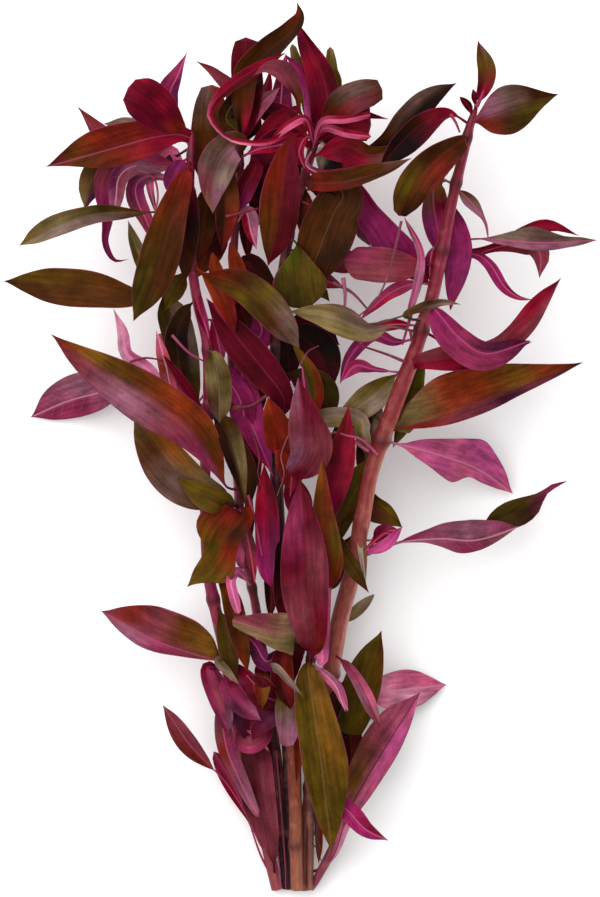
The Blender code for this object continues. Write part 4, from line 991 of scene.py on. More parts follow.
# The leaves of the centre stem
# The crown at the top of the bunch, where a rosette of leaves opens from one point, and the wide
# leaves that hang from the middle of the stem.
CENTRE_LEAVES = {
    "leaf_centre_01": Leaf(129, "301 116 52, 297 99 54, 289 85 56, 280 73 57, 266 70 57, 253 78 56",
        "0 1.5 2 3 5 8 8 4 0", "0 1.5 2.5 5 11 13 9 3 0",
        "crimson crimson rust maroon brick brick brick",
        "crimson crimson rust brown brick brick brick", "brick", 0.2, stalk=0.2),
    "leaf_centre_02": Leaf(150, "326 114 45, 326 90 45, 318 65 43, 306 42 42, 297 22 41",
        "0 12 17 18 17 15 12 7 0", "0 8 11 12 12 10 7 4 0",
        "black maroon wine wine crimson wine magenta", "black wine wine maroon wine wine wine",
        "crimson", 0.5, "under", lifts=(1.5, 1.5), slot="leaf_magenta"),
    "leaf_centre_03": Leaf(145, "340 110 50, 358 98 52, 382 91 51", "0 6 12 16 17 16 14 10",
        "0 5 9 13 15 15 14 9", "crimson crimson umber taupe umber",
        "crimson crimson rust brick umber", "crimson", 0.6),
    "leaf_centre_04": Leaf(158, "328 151 44.6, 346 147 44.9, 368 156 44, 388 152 43, 402 141 42",
        "0 6 10 11 10 8 5 0", "0 10 18 22 21 14 6 0", "crimson crimson brown umber",
        "ruby crimson wine crimson taupe umber", "ruby", 0.5),
    "leaf_centre_05": Leaf(180, "315 184 50, 345 183 50, 385 172 52, 412 159 51",
        "0 8 11 13 13 11 6 0", "0 6 8 8 7 5 3 0", "maroon rust umber brown taupe",
        "umber rust umber brown", "brick", 0.4, stalk=0.02),
    "leaf_centre_06": Leaf(150, "300 135 49, 288 150 51, 281 195 52, 276 235 50, 268 267 46",
        "0 8 15 19 20 18 11 0", "0 8 15 19 20 17 10 0", "crimson wine maroon maroon",
        "crimson rust rust brown bark", "crimson", 0.5, stalk=0.2, lifts=(1, 1.5)),
    "leaf_centre_07": Leaf(175, "342 192 43, 333 215 43, 318 253 42, 303 292 40",
        "0 14 23 28 29 26 16 0", "0 12 21 25 26 22 13 0", "bark umber umber bark brown",
        "bark umber brown umber", "khaki", 0.5, slot="leaf_olive"),
    "leaf_centre_08": Leaf(168, "352 182 35, 374 214 35, 398 250 34, 430 286 32",
        "0 3 5 8 13 17 15 0", "0 15 20 21 20 17 12 0", "magenta crimson magenta magenta crimson",
        "crimson violet magenta violet wine", "magenta", 0.6, "under", slot="leaf_magenta"),
    "leaf_centre_09": Leaf(156, "352 156 34, 385 143 35, 406 118 36, 430 97 37, 457 83 37",
        "0 4 8 10 11 11 7 0", "0 6 11 15 17 14 8 0", "black bark umber taupe bark",
        "bark black black black bark", "umber", 0.6, stalk=0.2),
    "leaf_centre_10": Leaf(238, "297 246 44.3, 300 277 45.3, 304 309 44.3", "0 6 13 20 25 26 19 6",
        "0 7 15 23 28 29 24 8", "green moss olive moss", "olive green moss moss", "olive", 0.4,
        stalk=0.3, slot="leaf_olive"),
    "leaf_centre_11": Leaf(485, "303 455 40, 302 425 45, 298 377 44", "0 8 12 15 15 12 7 0",
        "0 14 23 28 26 19 10 0", "berry mauve brick mauve", "crimson wine brick wine wine", "berry",
        0.5, "under", lifts=(1.5, 1.5), slot="leaf_magenta"),
    "leaf_centre_12": Leaf(430, "284 400 37, 262 368 39, 235 335 40, 206 298 42",
        "0 8 14 18 19 16 9 0", "0 8 14 17 17 14 8 0", "crimson wine maroon wine maroon",
        "wine maroon wine maroon wine", "berry", 0.5),
    "leaf_centre_13": Leaf(645, "298 634 34, 276 633 36, 255 627 37, 232 620 36",
        "8 18 23 22 18 13 10 8 5", "0 9 15 19 21 19 15 9 5", "tan khaki khaki tan khaki",
        "khaki khaki tan brick brick", "rose", 0.5, slot="leaf_olive"),
    "leaf_under_top": Leaf(220, "285 190 22, 280 130 9, 282 80 -1, 286 50 -1", "15", "",
        "wine violet wine", "", "rose", 0.5, "under"),
}
CENTRE_YOUNG = (
    Leaf(157, "312 98 42, 302 74 42, 284 54 41.5", "0 5 8 9 8 5 0", "0 5 8 9 7 4 0",
        "magenta pink magenta magenta", "violet magenta wine magenta", "magenta", 0.5, "under"),
    Leaf(142, "334 90 39, 331 70 39, 330 47 38", "0 3 5 6 6 5 3", "0 3 5 7 7 6 3",
        "moss khaki olive olive", "moss moss olive khaki", "khaki", 0.4),
    Leaf(150, "322 124 51, 345 121 51, 371 116 50", "0 2 3 4 4 4 3", "",
        "crimson rose crimson crimson", "crimson crimson rose crimson", "rose", 0.2, "under"),
    Leaf(145, "322 142 40.8, 326 156 40.5, 320 174 40", "0 10 17 19 16 9 0", "0 6 10 11 9 5 0",
        "crimson black black black", "taupe cream grey grey bark", "grey", 0.5),
    # Painted shade: a near black leaf in the dark gap under the crown
    Leaf(345, "296 335 31, 318 352 31, 334 388 30", "0 14 20 20 13 0", "0 12 18 20 14 0",
        "black black black maroon", "black black maroon black", "maroon", 0.4),
    Leaf(430, "310 412 34, 314 380 35, 292 342 36", "8", "", "umber moss olive", "umber rust olive",
        "brown", 0.5),
    Leaf(470, "300 430 38, 305 400 39, 302 365 39", "5", "", "magenta magenta plum", "", "rose", 0.5,
        "under"),
    Leaf(485, "258 440 33, 248 410 33, 238 350 34", "0 8 12 14 14 9 0", "0 8 13 15 14 9 0",
        "crimson magenta magenta", "violet magenta berry", "pink", 0.8, "under"),
    Leaf(465, "280 445 35, 268 397 40", "0 8 13 14 12 8 0", "0 8 13 15 13 8 0",
        "crimson rust sienna", "maroon rust rust", "rust", 0.6),
    Leaf(600, "268 575 29, 268 530 31, 264 463 32", "0 8 12 13 12 8 0", "0 8 11 12 11 7 0",
        "magenta magenta crimson crimson", "magenta violet wine wine", "crimson", 0.6),
    Leaf(640, "268 662 29, 255 645 29.5, 238 626 30", "0 7 10 10 8 5 0", "0 5 7 7 5 3 0",
        "magenta violet plum violet", "violet plum violet plum", "rose", 0.5, "under"),
    Leaf(702, "268 698 30, 246 675 31", "0 8 14 15 12 0", "0 8 13 14 12 0", "maroon maroon wine",
        "wine maroon maroon", "rose", 0.8),
    Leaf(682, "287 698 27, 288 722 28, 287 748 27", "0 9 13 14 13 10 6", "0 8 12 13 12 9 6",
        "khaki moss olive taupe mauve mauve", "khaki khaki olive taupe mauve brick", "grey", 0.5),
    Leaf(148, "304 85 37, 297 65 37, 292 44 37", "0 4 6 6 5 3", "0 4 6 7 6 3", "moss olive khaki",
        "", "khaki", 0.4),
    Leaf(142, "306 138 46, 299 153 48, 305 170 47", "0 3 4 5 4 0", "0 3 5 6 5 0",
        "ruby crimson ruby crimson", "rose crimson crimson wine", "rose", 0.4, "under"),
    Leaf(150, "306 166 46, 326 175 46, 354 168 45", "0 3 4 4 3 0", "0 3 4 5 4 0",
        "crimson mauve ruby crimson", "ruby crimson crimson", "pale", 0.4, "under"),
    Leaf(148, "324 130 49, 347 135 49, 371 138 49", "0 2 3 4 4 4 3", "",
        "crimson rose crimson crimson", "crimson crimson rose crimson", "rose", 0.2, "under"),
    Leaf(150, "326 126 44, 345 124 44, 371 126 44", "0 6 11 15 17 18 17", "0 6 10 14 16 17 16",
        "crimson wine maroon wine", "maroon wine crimson wine", "crimson", 0.4),
    Leaf(146, "322 112 36, 312 92 36, 305 70 35", "0 8 11 11 7 0", "", "taupe umber wine",
        "maroon wine maroon", "crimson", 0.6),
    Leaf(152, "292 136 38, 266 150 37, 250 178 36", "0 9 13 14 9 0", "0 8 12 12 8 0",
        "crimson wine maroon", "wine maroon violet", "crimson", 0.6),
    Leaf(152, "292 125 35, 270 112 34, 248 112 34", "0 10 14 14 9 0", "0 9 12 12 8 0",
        "wine maroon black", "crimson wine maroon", "crimson", 0.6),
    Leaf(165, "296 165 32, 272 178 30, 252 205 29", "0 14 18 18 11 0", "0 12 16 16 10 0",
        "maroon black black", "black maroon wine", "maroon", 0.6),
    Leaf(190, "325 190 33, 345 200 33, 362 226 32", "0 9 12 12 8 0", "0 12 16 16 10 0",
        "maroon crimson magenta", "wine maroon wine", "rose", 0.6, "under"),
    Leaf(235, "275 225 30, 262 205 29, 250 180 29", "0 10 13 13 8 0", "", "black maroon black",
        "wine black maroon", "maroon", 0.6),
    Leaf(250, "318 252 31, 348 262 31, 372 250 31", "0 12 15 14 9 0", "0 10 13 12 8 0",
        "brick berry brick", "crimson brick brick", "brick", 0.5),
    Leaf(370, "300 378 30, 322 392 30, 330 425 29", "0 12 16 16 10 0", "", "black moss black",
        "maroon black umber", "umber", 0.5),
    Leaf(365, "262 372 31, 248 395 31, 252 430 30", "0 14 18 18 11 0", "", "maroon wine maroon",
        "wine maroon rust", "rose", 0.6),
    Leaf(420, "285 430 33, 292 462 33, 290 498 31", "0 12 16 16 9 0", "", "rust maroon wine",
        "sienna rust maroon", "rose", 0.6),
    Leaf(430, "258 440 30, 246 465 30, 250 500 29", "0 9 12 12 7 0", "", "umber bark black",
        "brown umber bark", "rust", 0.6),
    Leaf(530, "284 545 32, 286 580 33, 282 625 32", "0 9 12 12 9 0", "0 9 12 13 9 0",
        "black maroon black bark", "black black maroon", "maroon", 0.4),
    Leaf(640, "282 655 29, 283 685 29, 292 712 28", "0 9 12 12 8 0", "0 8 11 11 7 0",
        "maroon rust maroon", "bark maroon bark", "rust", 0.5),
    Leaf(700, "275 712 26, 262 722 26, 252 742 25", "0 9 12 12 8 0", "0 8 11 11 7 0",
        "crimson plum wine", "plum plum wine", "plum", 0.7, "under"),
    Leaf(700, "296 722 24, 299 752 23, 296 785 21", "0 4 5 5 3 0", "", "sienna rust umber", "",
        "rust", 0.5),
    Leaf(150, "328 138 38, 338 155 38, 345 178 38", "0 12 17 18 12 0", "0 10 14 14 9 0",
        "ruby crimson wine", "crimson wine wine", "crimson", 0.4),
    Leaf(146, "306 121 51, 290 126 51, 275 139 48, 268 150 45", "0 4 5 5 3 0", "0 3 4 4 3 0",
        "ruby crimson rose crimson", "crimson ruby crimson", "rose", 0.3, "under"),
    Leaf(146,
        "292 134 49, 270 143 48, 248 144 48, 228 139 49, 213 124 50, 211 110 50, 226 91 51, "
        "255 71 51, 286 54 49", "0 3 3 3 2.5 2 3 5 6 6 4 0", "0 3 3 3 2.5 2 3 5 7 7 5 0",
        "crimson crimson crimson rose pale rose crimson wine crimson wine",
        "crimson wine crimson crimson crimson wine maroon wine maroon", "crimson", 0.3, "under"),
    Leaf(150, "340 122 42, 362 116 42, 390 120 42", "0 5 8 8 5 2 0", "0 4 6 7 4 2 0",
        "crimson wine maroon bark", "ruby crimson crimson wine", "crimson", 0.4),
    # Painted shade: a near black leaf in the same dark gap
    Leaf(345, "284 335 28, 288 358 28, 290 382 28", "0 10 13 12 8 0", "", "black black maroon",
        "black bark black", "maroon", 0.4),
    Leaf(565, "270 575 27, 271 598 27, 270 620 27", "0 5 6 6 4 0", "", "black maroon bark",
        "maroon black bark", "rust", 0.4),
    Leaf(485, "288 478 28, 298 500 28, 306 530 28", "0 9 13 13 8 0", "", "wine maroon rust",
        "maroon wine umber", "rust", 0.4),
    Leaf(262, "306 272 29, 325 280 29, 346 288 29", "0 7 10 9 5 0", "", "brick berry brick",
        "crimson brick crimson", "rose", 0.4, "under"),
    Leaf(180, "306 196 36, 305 215 36, 302 240 36", "0 5 9 9 5 0", "", "umber rust umber",
        "bark umber brown", "umber", 0.3),
    Leaf(200, "352 222 33, 362 236 33, 372 248 33", "0 5 8 8 4 0", "", "taupe mauve rust",
        "rust mauve taupe", "rose", 0.3),
    Leaf(262, "312 284 36, 322 292 36, 330 302 36", "0 6 9 9 5 0", "", "olive umber moss",
        "umber moss olive", "umber", 0.3),
    Leaf(320, "300 322 30, 318 330 30, 340 345 30", "0 9 14 13 8 0", "", "black maroon bark",
        "maroon black bark", "maroon", 0.3),
    Leaf(420, "352 418 33, 362 434 33, 368 452 33, 366 468 33", "0 6 10 10 9 5 0", "",
        "khaki grey khaki", "grey khaki moss", "khaki", 0.3),
)
place_leaves("centre", CENTRE_LEAVES)
place_young("centre", CENTRE_YOUNG)

# The leaves of the short stem
# A side shoot that ends half way up, with the long magenta leaf in front of the bunch and the
# broad olive leaf that hangs over the cut ends.
SHORT_LEAVES = {
    "leaf_short_01": Leaf(540, "330 505 37, 343 455 38, 349 404 36", "0 8 13 16 16 12 6 0",
        "0 8 12 14 13 10 5 0", "crimson wine wine rust", "magenta wine crimson crimson", "crimson",
        0.5),
    "leaf_short_02": Leaf(664, "314 640 41, 308 590 44, 305 540 46, 300 476 44",
        "0 12 20 26 26 22 13 0", "0 9 15 20 22 18 10 0", "magenta wine brick wine berry wine",
        "wine rust wine brick wine maroon", "rust", 0.5, lifts=(1.5, 1), slot="leaf_magenta"),
    "leaf_short_03": Leaf(602, "330 565 41.5, 325 510 42.5, 322 457 41.5", "0 10 15 17 15 11 6 0",
        "0 9 13 12 10 7 4 0", "rust umber rust brown amber", "rust rust olive rust olive", "rust",
        0.6),
    "leaf_short_04": Leaf(662, "308 668 31, 312 700 33, 322 770 31, 332 855 22",
        "0 14 20 25 27 21 12 0", "0 14 19 19 19 15 9 0", "bronze bronze bronze olive olive",
        "brown olive olive olive bronze", "tan", 0.5, stalk=0.01, lifts=(2, 2), slot="leaf_olive"),
}
SHORT_YOUNG = (
    Leaf(525, "336 540 38, 346 558 39, 369 593 38", "0 6 8 8 5 0", "", "olive umber moss bark", "",
        "rust", 0.7),
    Leaf(652, "322 662 32, 322 632 33, 326 602 34, 334 573 34", "0 5 7 8 8 6 3 0", "0 5 7 8 7 5 2 0",
        "pink rose pale rose", "rose pink rose pink", "pale", 0.5, "under"),
    Leaf(595, "330 585 27, 338 560 27, 352 535 28", "0 8 10 9 6 0", "", "umber black bark",
        "umber umber olive", "umber", 0.5),
    Leaf(662, "334 684 34, 341 700 35, 346 713 34", "0 4 5 4 2 0", "", "rose mauve pink",
        "mauve rose mauve", "pale", 0.4, "under"),
    Leaf(595, "306 590 29, 300 560 30, 297 520 30", "0 11 15 15 10 0", "0 10 14 14 9 0",
        "maroon wine maroon", "", "crimson", 0.5),
    Leaf(620, "300 640 26, 291 660 25, 290 690 24", "0 8 11 11 7 0", "", "bark maroon bark",
        "black bark umber", "rust", 0.5),
    Leaf(800, "317 815 9, 319 840 9, 319 868 9", "0 3 4 4 3 0", "", "taupe rust umber",
        "rust taupe umber", "rust", 0.3),
)
place_leaves("short", SHORT_LEAVES)
place_young("short", SHORT_YOUNG)

# The leaves of the right stem
# The longest and thickest stem, whose leaves stand out to the right in pairs, some turned over so
# that the magenta underside shows.
RIGHT_LEAVES = {
    "leaf_right_01": Leaf(112, "480 95 50, 485 73 51, 477 42 51", "0 4 6 8 8 7 4 0",
        "0 6 9 10 10 8 4 0", "crimson wine olive umber", "crimson crimson olive taupe", "crimson",
        0.4),
    "leaf_right_02": Leaf(130, "477 121 48, 503 112 48, 530 103 46, 558 95 44",
        "0 8 18 23 23 19 12 5 0", "0 15 22 25 23 18 11 5 0", "crimson mauve taupe umber umber",
        "crimson rust umber moss olive umber", "maroon", 0.6, stalk=0.02, lifts=(2, 1),
        slot="leaf_olive"),
    "leaf_right_03": Leaf(126, "448 114 46, 425 122 47, 402 142 46.6, 379 169 45.8",
        "0 6 12 16 17 15 9 0", "0 5 8 10 10 9 6 0", "crimson wine black black",
        "crimson crimson bark black bark", "wine", 0.5),
    "leaf_right_04": Leaf(146, "463 141 53, 437 160 56, 415 185 56, 398 217 52",
        "0 10 15 18 19 17 14 6", "0 6 11 15 17 17 14 6", "rust umber rust umber bark",
        "rust umber umber olive umber", "rust", 0.5, stalk=0.02, lifts=(1.5, 1.5),
        slot="leaf_olive"),
    "leaf_right_05": Leaf(200, "456 215 40.5, 461 250 41.5, 450 311 41", "0 6 9 11 11 9 5 0",
        "0 8 12 14 15 12 7 0", "violet magenta violet berry", "wine magenta violet magenta",
        "magenta", 0.6, "under", slot="leaf_magenta"),
    "leaf_right_06": Leaf(244, "460 242 37.5, 475 239 36.5, 500 240 38, 545 243 39, 598 240 34",
        "0 4 10 16 12 6 4 0", "0 4 6 8 8 6 4 0", "crimson mauve grey taupe taupe grey",
        "crimson mauve mauve mauve taupe", "rose", 0.7, "under", stalk=0.24, lifts=(2, 1),
        slot="leaf_magenta"),
    "leaf_right_07": Leaf(308, "436 312 50, 458 338 52, 486 354 52, 530 341 49",
        "0 5 9 11 12 11 8 0", "0 12 18 20 19 15 9 0", "pink magenta berry plum wine",
        "crimson magenta berry berry plum", "pink", 0.4, "under", lifts=(2, 1.5),
        slot="leaf_magenta"),
    "leaf_right_08": Leaf(366, "424 361 44, 460 356 44, 500 350 43, 532 342 41",
        "6 9 12 13 11 7 4 0", "5 9 13 15 14 9 5 0", "crimson brick crimson amber brown",
        "wine crimson wine wine", "crimson", 0.5, stalk=0.0),
    "leaf_right_09": Leaf(432, "412 425 37, 455 412 38, 515 390 36, 584 362 30",
        "4 26 38 39 35 28 18 8 0", "0 6 10 11 10 7 5 3 0",
        "brown khaki sienna sienna bronze sienna umber", "crimson rust brick plum brick umber",
        "plum", 0.5, stalk=0.01, lifts=(3, 1.5)),
    "leaf_right_10": Leaf(440, "440 455 24, 480 470 11, 515 494 2", "0 9 15 20 25 29 21 12 0",
        "0 8 14 20 22 11 10 6 0", "rose pink rose pink pink rose", "berry rose pink rose pink rose",
        "pale", 0.5, "under", slot="leaf_magenta"),
    "leaf_right_11": Leaf(560, "400 543 28, 440 539 26, 470 541 24, 492 537 21, 520 527 18",
        "0 5 10 16 20 21 18 12 0", "0 2 4 9 13 11 8 4 0", "berry berry mauve berry",
        "mauve mauve berry taupe", "pale", 0.5, "under", stalk=0.2, lifts=(2, 1),
        slot="leaf_magenta"),
    "leaf_right_12": Leaf(655, "349 668 31, 364 692 33, 380 728 31", "0 3 5 6 7 7 5 0", "",
        "crimson brick rose taupe", "brick berry mauve brick", "crimson", 0.5, "under",
        slot="leaf_magenta"),
    "leaf_right_13": Leaf(880, "332 862 8, 350 812 13, 382 755 17, 421 693 18",
        "0 4 9 17 23 25 19 0", "0 4 7 12 14 14 9 0", "berry rose bronze brick rose",
        "rose pale rose pink rose", "plum", 0.6, "under", lifts=(2, 2), slot="leaf_magenta"),
    "leaf_right_14": Leaf(690, "372 693 12, 410 691 5, 448 687 2", "0 10 16 19 20 17 9 0",
        "0 10 17 20 20 17 9 0", "mauve pale rose rose", "rose rose pale rose", "pale", 0.6, "under",
        stalk=0.2, slot="leaf_magenta"),
}
RIGHT_YOUNG = (
    Leaf(120, "468 108 49, 459 98 49", "4", "", "crimson maroon maroon", "", "crimson", 0.5),
    Leaf(262, "415 267 39.5, 380 265 38.5, 341 262 37.5", "0 8 14 17 18 17 15 0", "",
        "crimson brick brick", "crimson brick berry", "brick", 0.5),
    Leaf(318, "409 318 45, 417 285 47, 420 252 48, 403 216 46", "0 3 4 5 4 4 3 0", "0 3 4 5 4 3 2 0",
        "magenta pink mauve mauve wine", "pink mauve mauve magenta wine", "rose", 0.4, "under"),
    Leaf(186, "440 180 41, 433 193 40, 436 222 37, 445 258 35", "0 9 14 15 12 8 0",
        "0 5 9 13 13 10 0", "khaki olive wine magenta crimson", "rose olive violet magenta", "rose",
        0.5),
    Leaf(190, "452 187 46, 464 196 46, 475 208 45.5, 485 224 45, 488 242 44", "0 4 6 6 4 2 1.5 1 0",
        "0 5 7 6 4 2 1.5 1 0", "khaki umber taupe mauve pink", "umber taupe mauve mauve pink",
        "rose", 0.3),
    Leaf(252, "458 250 35, 475 250 31, 498 244 31, 528 231 31, 552 225 31, 581 236 29",
        "0 2 2 3 6 7 3 0", "0 2 2 3 6 8 4 0", "crimson crimson wine crimson wine", "", "crimson",
        0.8),
    Leaf(256, "470 256 28, 500 246 27, 530 243 27, 541 255 27, 540 278 26", "0 2 2 3 6 11 9 0",
        "0 2 2 3 7 12 8 0", "crimson brick crimson brick brick", "", "rose", 0.4, "under"),
    Leaf(264, "471 254 33, 489 263 34, 504 286 34, 518 297 34, 535 300 34", "0 2 3 4 5 4 2 0",
        "0 2 4 6 7 6 3 0", "magenta magenta magenta crimson", "", "rose", 0.4, "under"),
    Leaf(330, "460 350 37, 497 346 35, 525 325 37, 545 300 38, 561 278 39", "0 5 7 9 11 13 9 0",
        "0 8 11 11 6 0", "crimson wine brick crimson wine", "wine crimson wine brick wine",
        "crimson", 0.5),
    Leaf(352, "421 354 34, 415 385 33, 406 415 31, 393 448 29", "0 6 9 11 10 7 0", "0 6 8 8 7 5 0",
        "olive green moss khaki olive", "olive moss olive moss", "olive", 0.5),
    Leaf(560, "405 541 21, 440 537 17, 478 531 15, 507 517 15, 534 502 14, 553 487 14, 570 481 13",
        "0 9 13 12 8 3 2 0", "0 9 14 16 13 4 3 0", "magenta olive moss moss moss magenta",
        "magenta moss olive moss bark magenta", "umber", 0.4, stalk=0.55),
    Leaf(478, "372 500 27, 386 512 27, 403 528 26", "0 6 8 8 5 0", "0 13 17 15 8 0",
        "umber bark olive umber", "umber wine umber olive", "umber", 0.5),
    Leaf(556, "385 545 33, 402 527 35", "6", "", "magenta pink magenta", "", "pink", 0.5, "under"),
    Leaf(378, "396 375 34, 375 394 33, 352 411 32, 332 425 31", "0 9 15 16 14 9 0",
        "0 8 13 14 11 7 0", "olive khaki grey olive olive", "moss olive khaki olive", "khaki", 0.5),
    Leaf(445, "365 470 31, 350 495 29.5, 335 527 28", "0 8 11 12 11 7 0", "0 8 12 13 12 8 0",
        "moss olive moss umber", "", "umber", 0.5),
    Leaf(800, "343 808 24, 365 830 25, 389 842 23", "0 5 8 10 10 6 0", "0 5 8 10 9 6 0",
        "magenta magenta crimson", "violet magenta magenta", "rose", 0.5, "under"),
    Leaf(775, "340 765 9, 352 735 12, 366 690 18, 382 631 22", "0 10 17 22 24 22 14 0",
        "0 6 10 14 15 13 8 0", "olive moss olive", "moss olive umber", "olive", 0.4),
    Leaf(672, "340 692 27, 348 712 27", "5", "", "rose pink rose", "", "pale", 0.5, "under"),
    Leaf(625, "350 618 17, 375 595 16", "6", "", "grey khaki grey", "", "grey", 0.5),
    Leaf(333, "390 327 46, 368 331 47, 340 321 48, 312 314 48, 289 312 46", "0 8 13 15 14 10 6 0",
        "0 4 9 14 15 11 6 0", "magenta taupe khaki khaki khaki", "umber taupe taupe khaki khaki",
        "grey", 0.5, stalk=0.2),
    Leaf(326, "390 325 41, 362 333 41", "6", "", "crimson crimson berry", "", "rose", 0.5, "under"),
    Leaf(285, "414 284 41, 392 292 40, 372 308 40, 359 321 40", "0 5 7 6 5 3 0", "",
        "magenta berry crimson berry", "crimson berry magenta", "rose", 0.4),
    Leaf(372, "395 372 38, 372 369 38, 355 366 38, 342 381 38", "0 2 3 6 8 5 0", "0 2 3 6 6 4 0",
        "crimson magenta berry magenta", "magenta berry crimson", "pink", 0.4, "under"),
    Leaf(338, "395 342 36, 372 335 34, 350 357 34, 340 384 35", "7", "", "berry magenta plum", "",
        "pink", 0.5, "under"),
    Leaf(112, "474 102 49, 472 90 49", "0 2 3 2 0", "0 2 3 3 0", "crimson maroon wine", "",
        "crimson", 0.3),
    Leaf(400, "378 408 31, 370 440 30, 360 482 29", "0 8 11 12 8 0", "", "khaki grey olive moss",
        "bark black bark umber", "khaki", 0.5),
    Leaf(400, "404 428 34, 417 407 35, 434 388 34", "0 7 10 10 6 0", "0 6 8 8 5 0",
        "green khaki olive khaki", "khaki green khaki", "khaki", 0.5),
    Leaf(440, "372 452 33, 352 440 34, 336 436 34", "0 2 2 2 2 0", "", "rose rose pale", "", "pale",
        0.3, "under"),
    Leaf(480, "356 498 29, 344 515 28, 338 545 27", "0 7 10 10 6 0", "", "umber moss bark",
        "olive umber moss", "umber", 0.6),
    Leaf(560, "378 538 33, 388 533 34, 398 543 33", "0 2 2 2 2 0", "", "crimson crimson magenta", "",
        "rose", 0.3, "under"),
    Leaf(700, "345 722 12, 352 745 12, 350 775 12", "0 8 11 11 7 0", "", "black maroon umber",
        "bark black maroon", "rust", 0.5),
    Leaf(745, "330 720 18, 336 700 20, 345 680 21", "0 6 8 8 5 0", "", "maroon bark umber", "",
        "rust", 0.5),
    Leaf(322, "404 316 48, 424 307 49, 443 303 49, 461 305 48", "0 2 4 5 3 0", "",
        "umber khaki umber grey", "khaki umber grey", "umber", 0.4),
    Leaf(425, "362 410 29, 345 424 29, 328 444 29", "0 7 9 9 5 0", "", "olive umber moss",
        "umber olive umber", "umber", 0.4),
    Leaf(290, "430 280 40, 430 262 41, 433 246 41", "0 4 6 6 4 0", "", "crimson wine berry",
        "wine crimson wine", "rose", 0.3, "under"),
    Leaf(540, "374 540 28, 386 532 28, 400 530 28", "0 6 9 8 4 0", "", "maroon wine berry",
        "wine maroon wine", "rose", 0.3, "under"),
    Leaf(540, "366 480 31, 362 510 31, 362 545 30, 366 585 29", "0 3 5 5 5 4 0", "",
        "tan cream brick tan", "cream tan cream brick", "cream", 0.4, "under"),
)
place_leaves("right", RIGHT_LEAVES)
place_young("right", RIGHT_YOUNG)

# Threads and loose petioles
# Fine roots that hang from the joints, tendril-like leaf tips, and the petioles of leaves that lie
# deeper in the bunch. They are soft round threads of the stem's own skin, joined to it at one end.
# A thread is thinner by this share at its end
THREAD_TAPER = 0.5
# The path of each thread, its thickness in mm at the start and its colour, by stem
THREADS = {
    "left": (
        ("226 217 44, 243 213 44, 258 209 43", 1.1, "860c26"),
        ("230 407 37, 250 406 38, 268 395 38", 1.9, "6a0a28"),
        ("129 175 36, 147 174 36, 155 180 36, 158 197 37, 155 213 38", 0.9, "c04a68"),
        ("172 335 36, 188 352 36, 205 362 36", 0.9, "a04068"),
        ("130 362 35, 145 358 35, 163 360 35", 0.8, "8a1a34"),
        ("158 334 31, 168 358 31, 174 376 30, 183 388 30", 1.6, "b86a60"),
    ),
    "inner": (
        ("272 745 8, 276 800 6, 281 850 4, 285 893 2.2", 3.0, "200810"),
        ("286 745 10, 288 820 7, 291 893 3", 2.5, "2a0c14"),
        # Painted highlights: two thin pink threads along the dark ones, where light catches them
        ("268 752 14, 272 800 12, 277 850 9, 281 893 7", 0.7, "9a3c58"),
        ("276 752 14, 280 800 12, 284 850 9, 286 893 6", 0.5, "9a3c58"),
        ("252 432 34, 259 455 34, 258 474 34, 264 492 33", 0.4, "8a3848"),
        ("288 436 37, 281 456 37, 284 474 37, 277 496 36", 0.4, "9a505c"),
        ("248 495 32, 255 520 32, 262 556 32", 0.9, "a03a50"),
    ),
    "centre": (
        ("333 283 42, 352 293 42, 368 310 41", 1.1, "7a3a40"),
        ("343 278 43, 345 295 43, 344 314 42", 1.3, "a05070"),
        ("312 828 13, 316 840 12, 322 852 10", 0.5, "5a3020"),
        ("312 846 12, 317 852 10, 322 866 8", 0.4, "5a3020"),
        ("300 366 46, 308 352 47, 319 346 47", 0.6, "6a2030"),
    ),
    "right": (
        ("350 812 12, 334 850 8, 316 884 5, 311 893 4.2", 3.4, "8a3a4c"),
        ("401 222 50, 395 248 49, 388 275 47, 376 300 46, 357 318 45", 0.8, "7a3a4a"),
        ("412 310 44, 407 328 44, 402 345 43", 1.1, "8a2044"),
        ("410 330 43, 411 338 43, 412 345 42", 1.0, "8a2044"),
        ("378 455 38, 362 440 38, 348 436 38, 331 434 37, 323 460 36", 0.9, "a83a60"),
        ("360 326 46, 380 323 47, 404 316 48", 0.9, "4a3c28"),
        ("405 362 42, 385 354 41, 358 345 40", 1.0, "7a2040"),
        ("450 116 50, 455 124 51, 459 134 51", 1.0, "a02048"),
        ("476 108 51, 480 100 52, 483 92 52", 1.2, "a02048"),
    ),
}
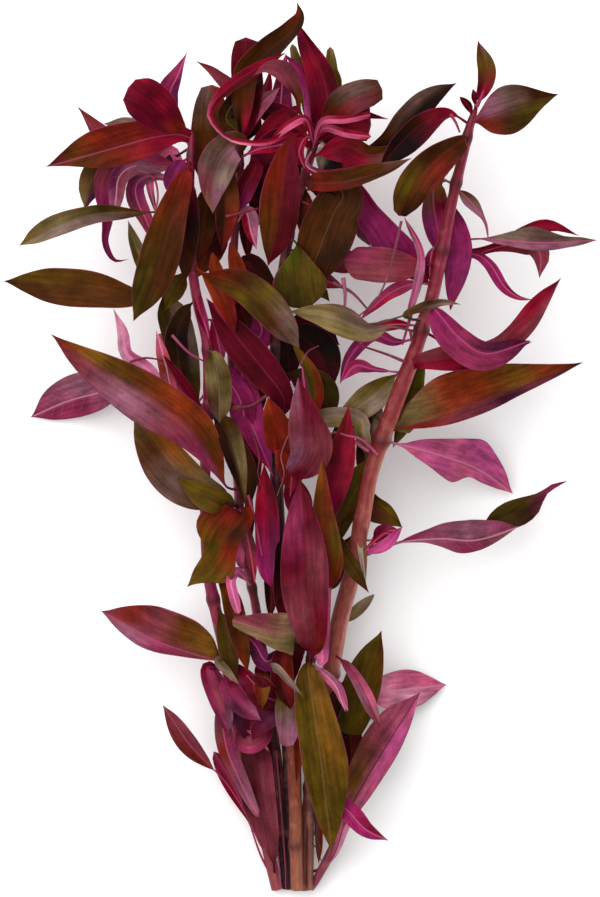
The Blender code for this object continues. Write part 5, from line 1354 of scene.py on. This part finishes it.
for name, threads in THREADS.items():
    strands = []
    for number, (path, width, code) in enumerate(threads):
        line = smooth_line([place(*spot) for spot in spots(path)])
        last = len(line) - 1
        strands.append(grow(
            guide(f"thread_{name}_{number}", line, {
                "thick": [(width / 2 * MM * (1 - THREAD_TAPER * index / last),)
                          for index in range(last + 1)],
                "joint": [(0.0,)] * (last + 1),
                **{f"tint_{side}": [linear(code, LAMP_SHARE)] * (last + 1)
                   for side in ("left", "middle", "right")},
            }), ROD,
            {"Sides": 10, "Ridge height": 0.1 * MM, "Ridges": 4.0, "Seed": number, "Material": BARK},
        ))
    piece = join(strands, f"threads_{name}")
    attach(piece, "root")
    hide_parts(f"stem_{name}")

# The surface and the light
# A plain pale sheet under the bunch, a large soft lamp above on the left, and even light from a
# white room, so that shadows stay faint.
SHEET_REACH = 3.0
sheet = bpy.data.meshes.new("pale_sheet")
corners = ((-1, -1), (1, -1), (1, 1), (-1, 1))
sheet.from_pydata([(x * SHEET_REACH, y * SHEET_REACH, 0) for x, y in corners], [], [(0, 1, 2, 3)])
floor = bpy.data.objects.new("pale_sheet", sheet)
bpy.context.scene.collection.objects.link(floor)
paint = bpy.data.materials.new("matt_white_paper")
paint.use_nodes = True
coat = paint.node_tree.nodes["Principled BSDF"]
coat.inputs["Base Color"].default_value = linear("fafafa")
coat.inputs["Roughness"].default_value = 0.9
coat.inputs["Specular IOR Level"].default_value = 0.1
sheet.materials.append(paint)

room = bpy.data.worlds.new("white room")
room.use_nodes = True
sky = room.node_tree.nodes["Background"]
sky.inputs["Color"].default_value = (1, 1, 1, 1)
sky.inputs["Strength"].default_value = 0.80
bpy.context.scene.world = room
lamp = bpy.data.lights.new("soft lamp", "AREA")
lamp.shape = "DISK"
lamp.size = 1.8
lamp.energy = 21.8
softbox = bpy.data.objects.new("soft lamp", lamp)
softbox.location = (-0.4, 0.45, 1.2)
softbox.rotation_euler = (-softbox.location).to_track_quat("-Z", "Y").to_euler()
bpy.context.scene.collection.objects.link(softbox)

# The camera looks straight down from far off, so that one step of the photograph is one STEP
# at the middle height of the bunch.
PHOTO_ROWS = 897
MIDDLE_HEIGHT = 35 * MM
lens = bpy.data.cameras.new("camera")
lens.lens = 500.0
lens.sensor_fit = "VERTICAL"
lens.sensor_height = 36.0
lens.clip_end = 20.0
distance = PHOTO_ROWS * STEP / lens.sensor_height * lens.lens
camera = bpy.data.objects.new("camera", lens)
camera.location = (0, (CENTRE_ROW - PHOTO_ROWS / 2) * STEP, MIDDLE_HEIGHT + distance)
bpy.context.scene.collection.objects.link(camera)
bpy.context.scene.camera = camera
bpy.context.scene.view_settings.view_transform = "Standard"
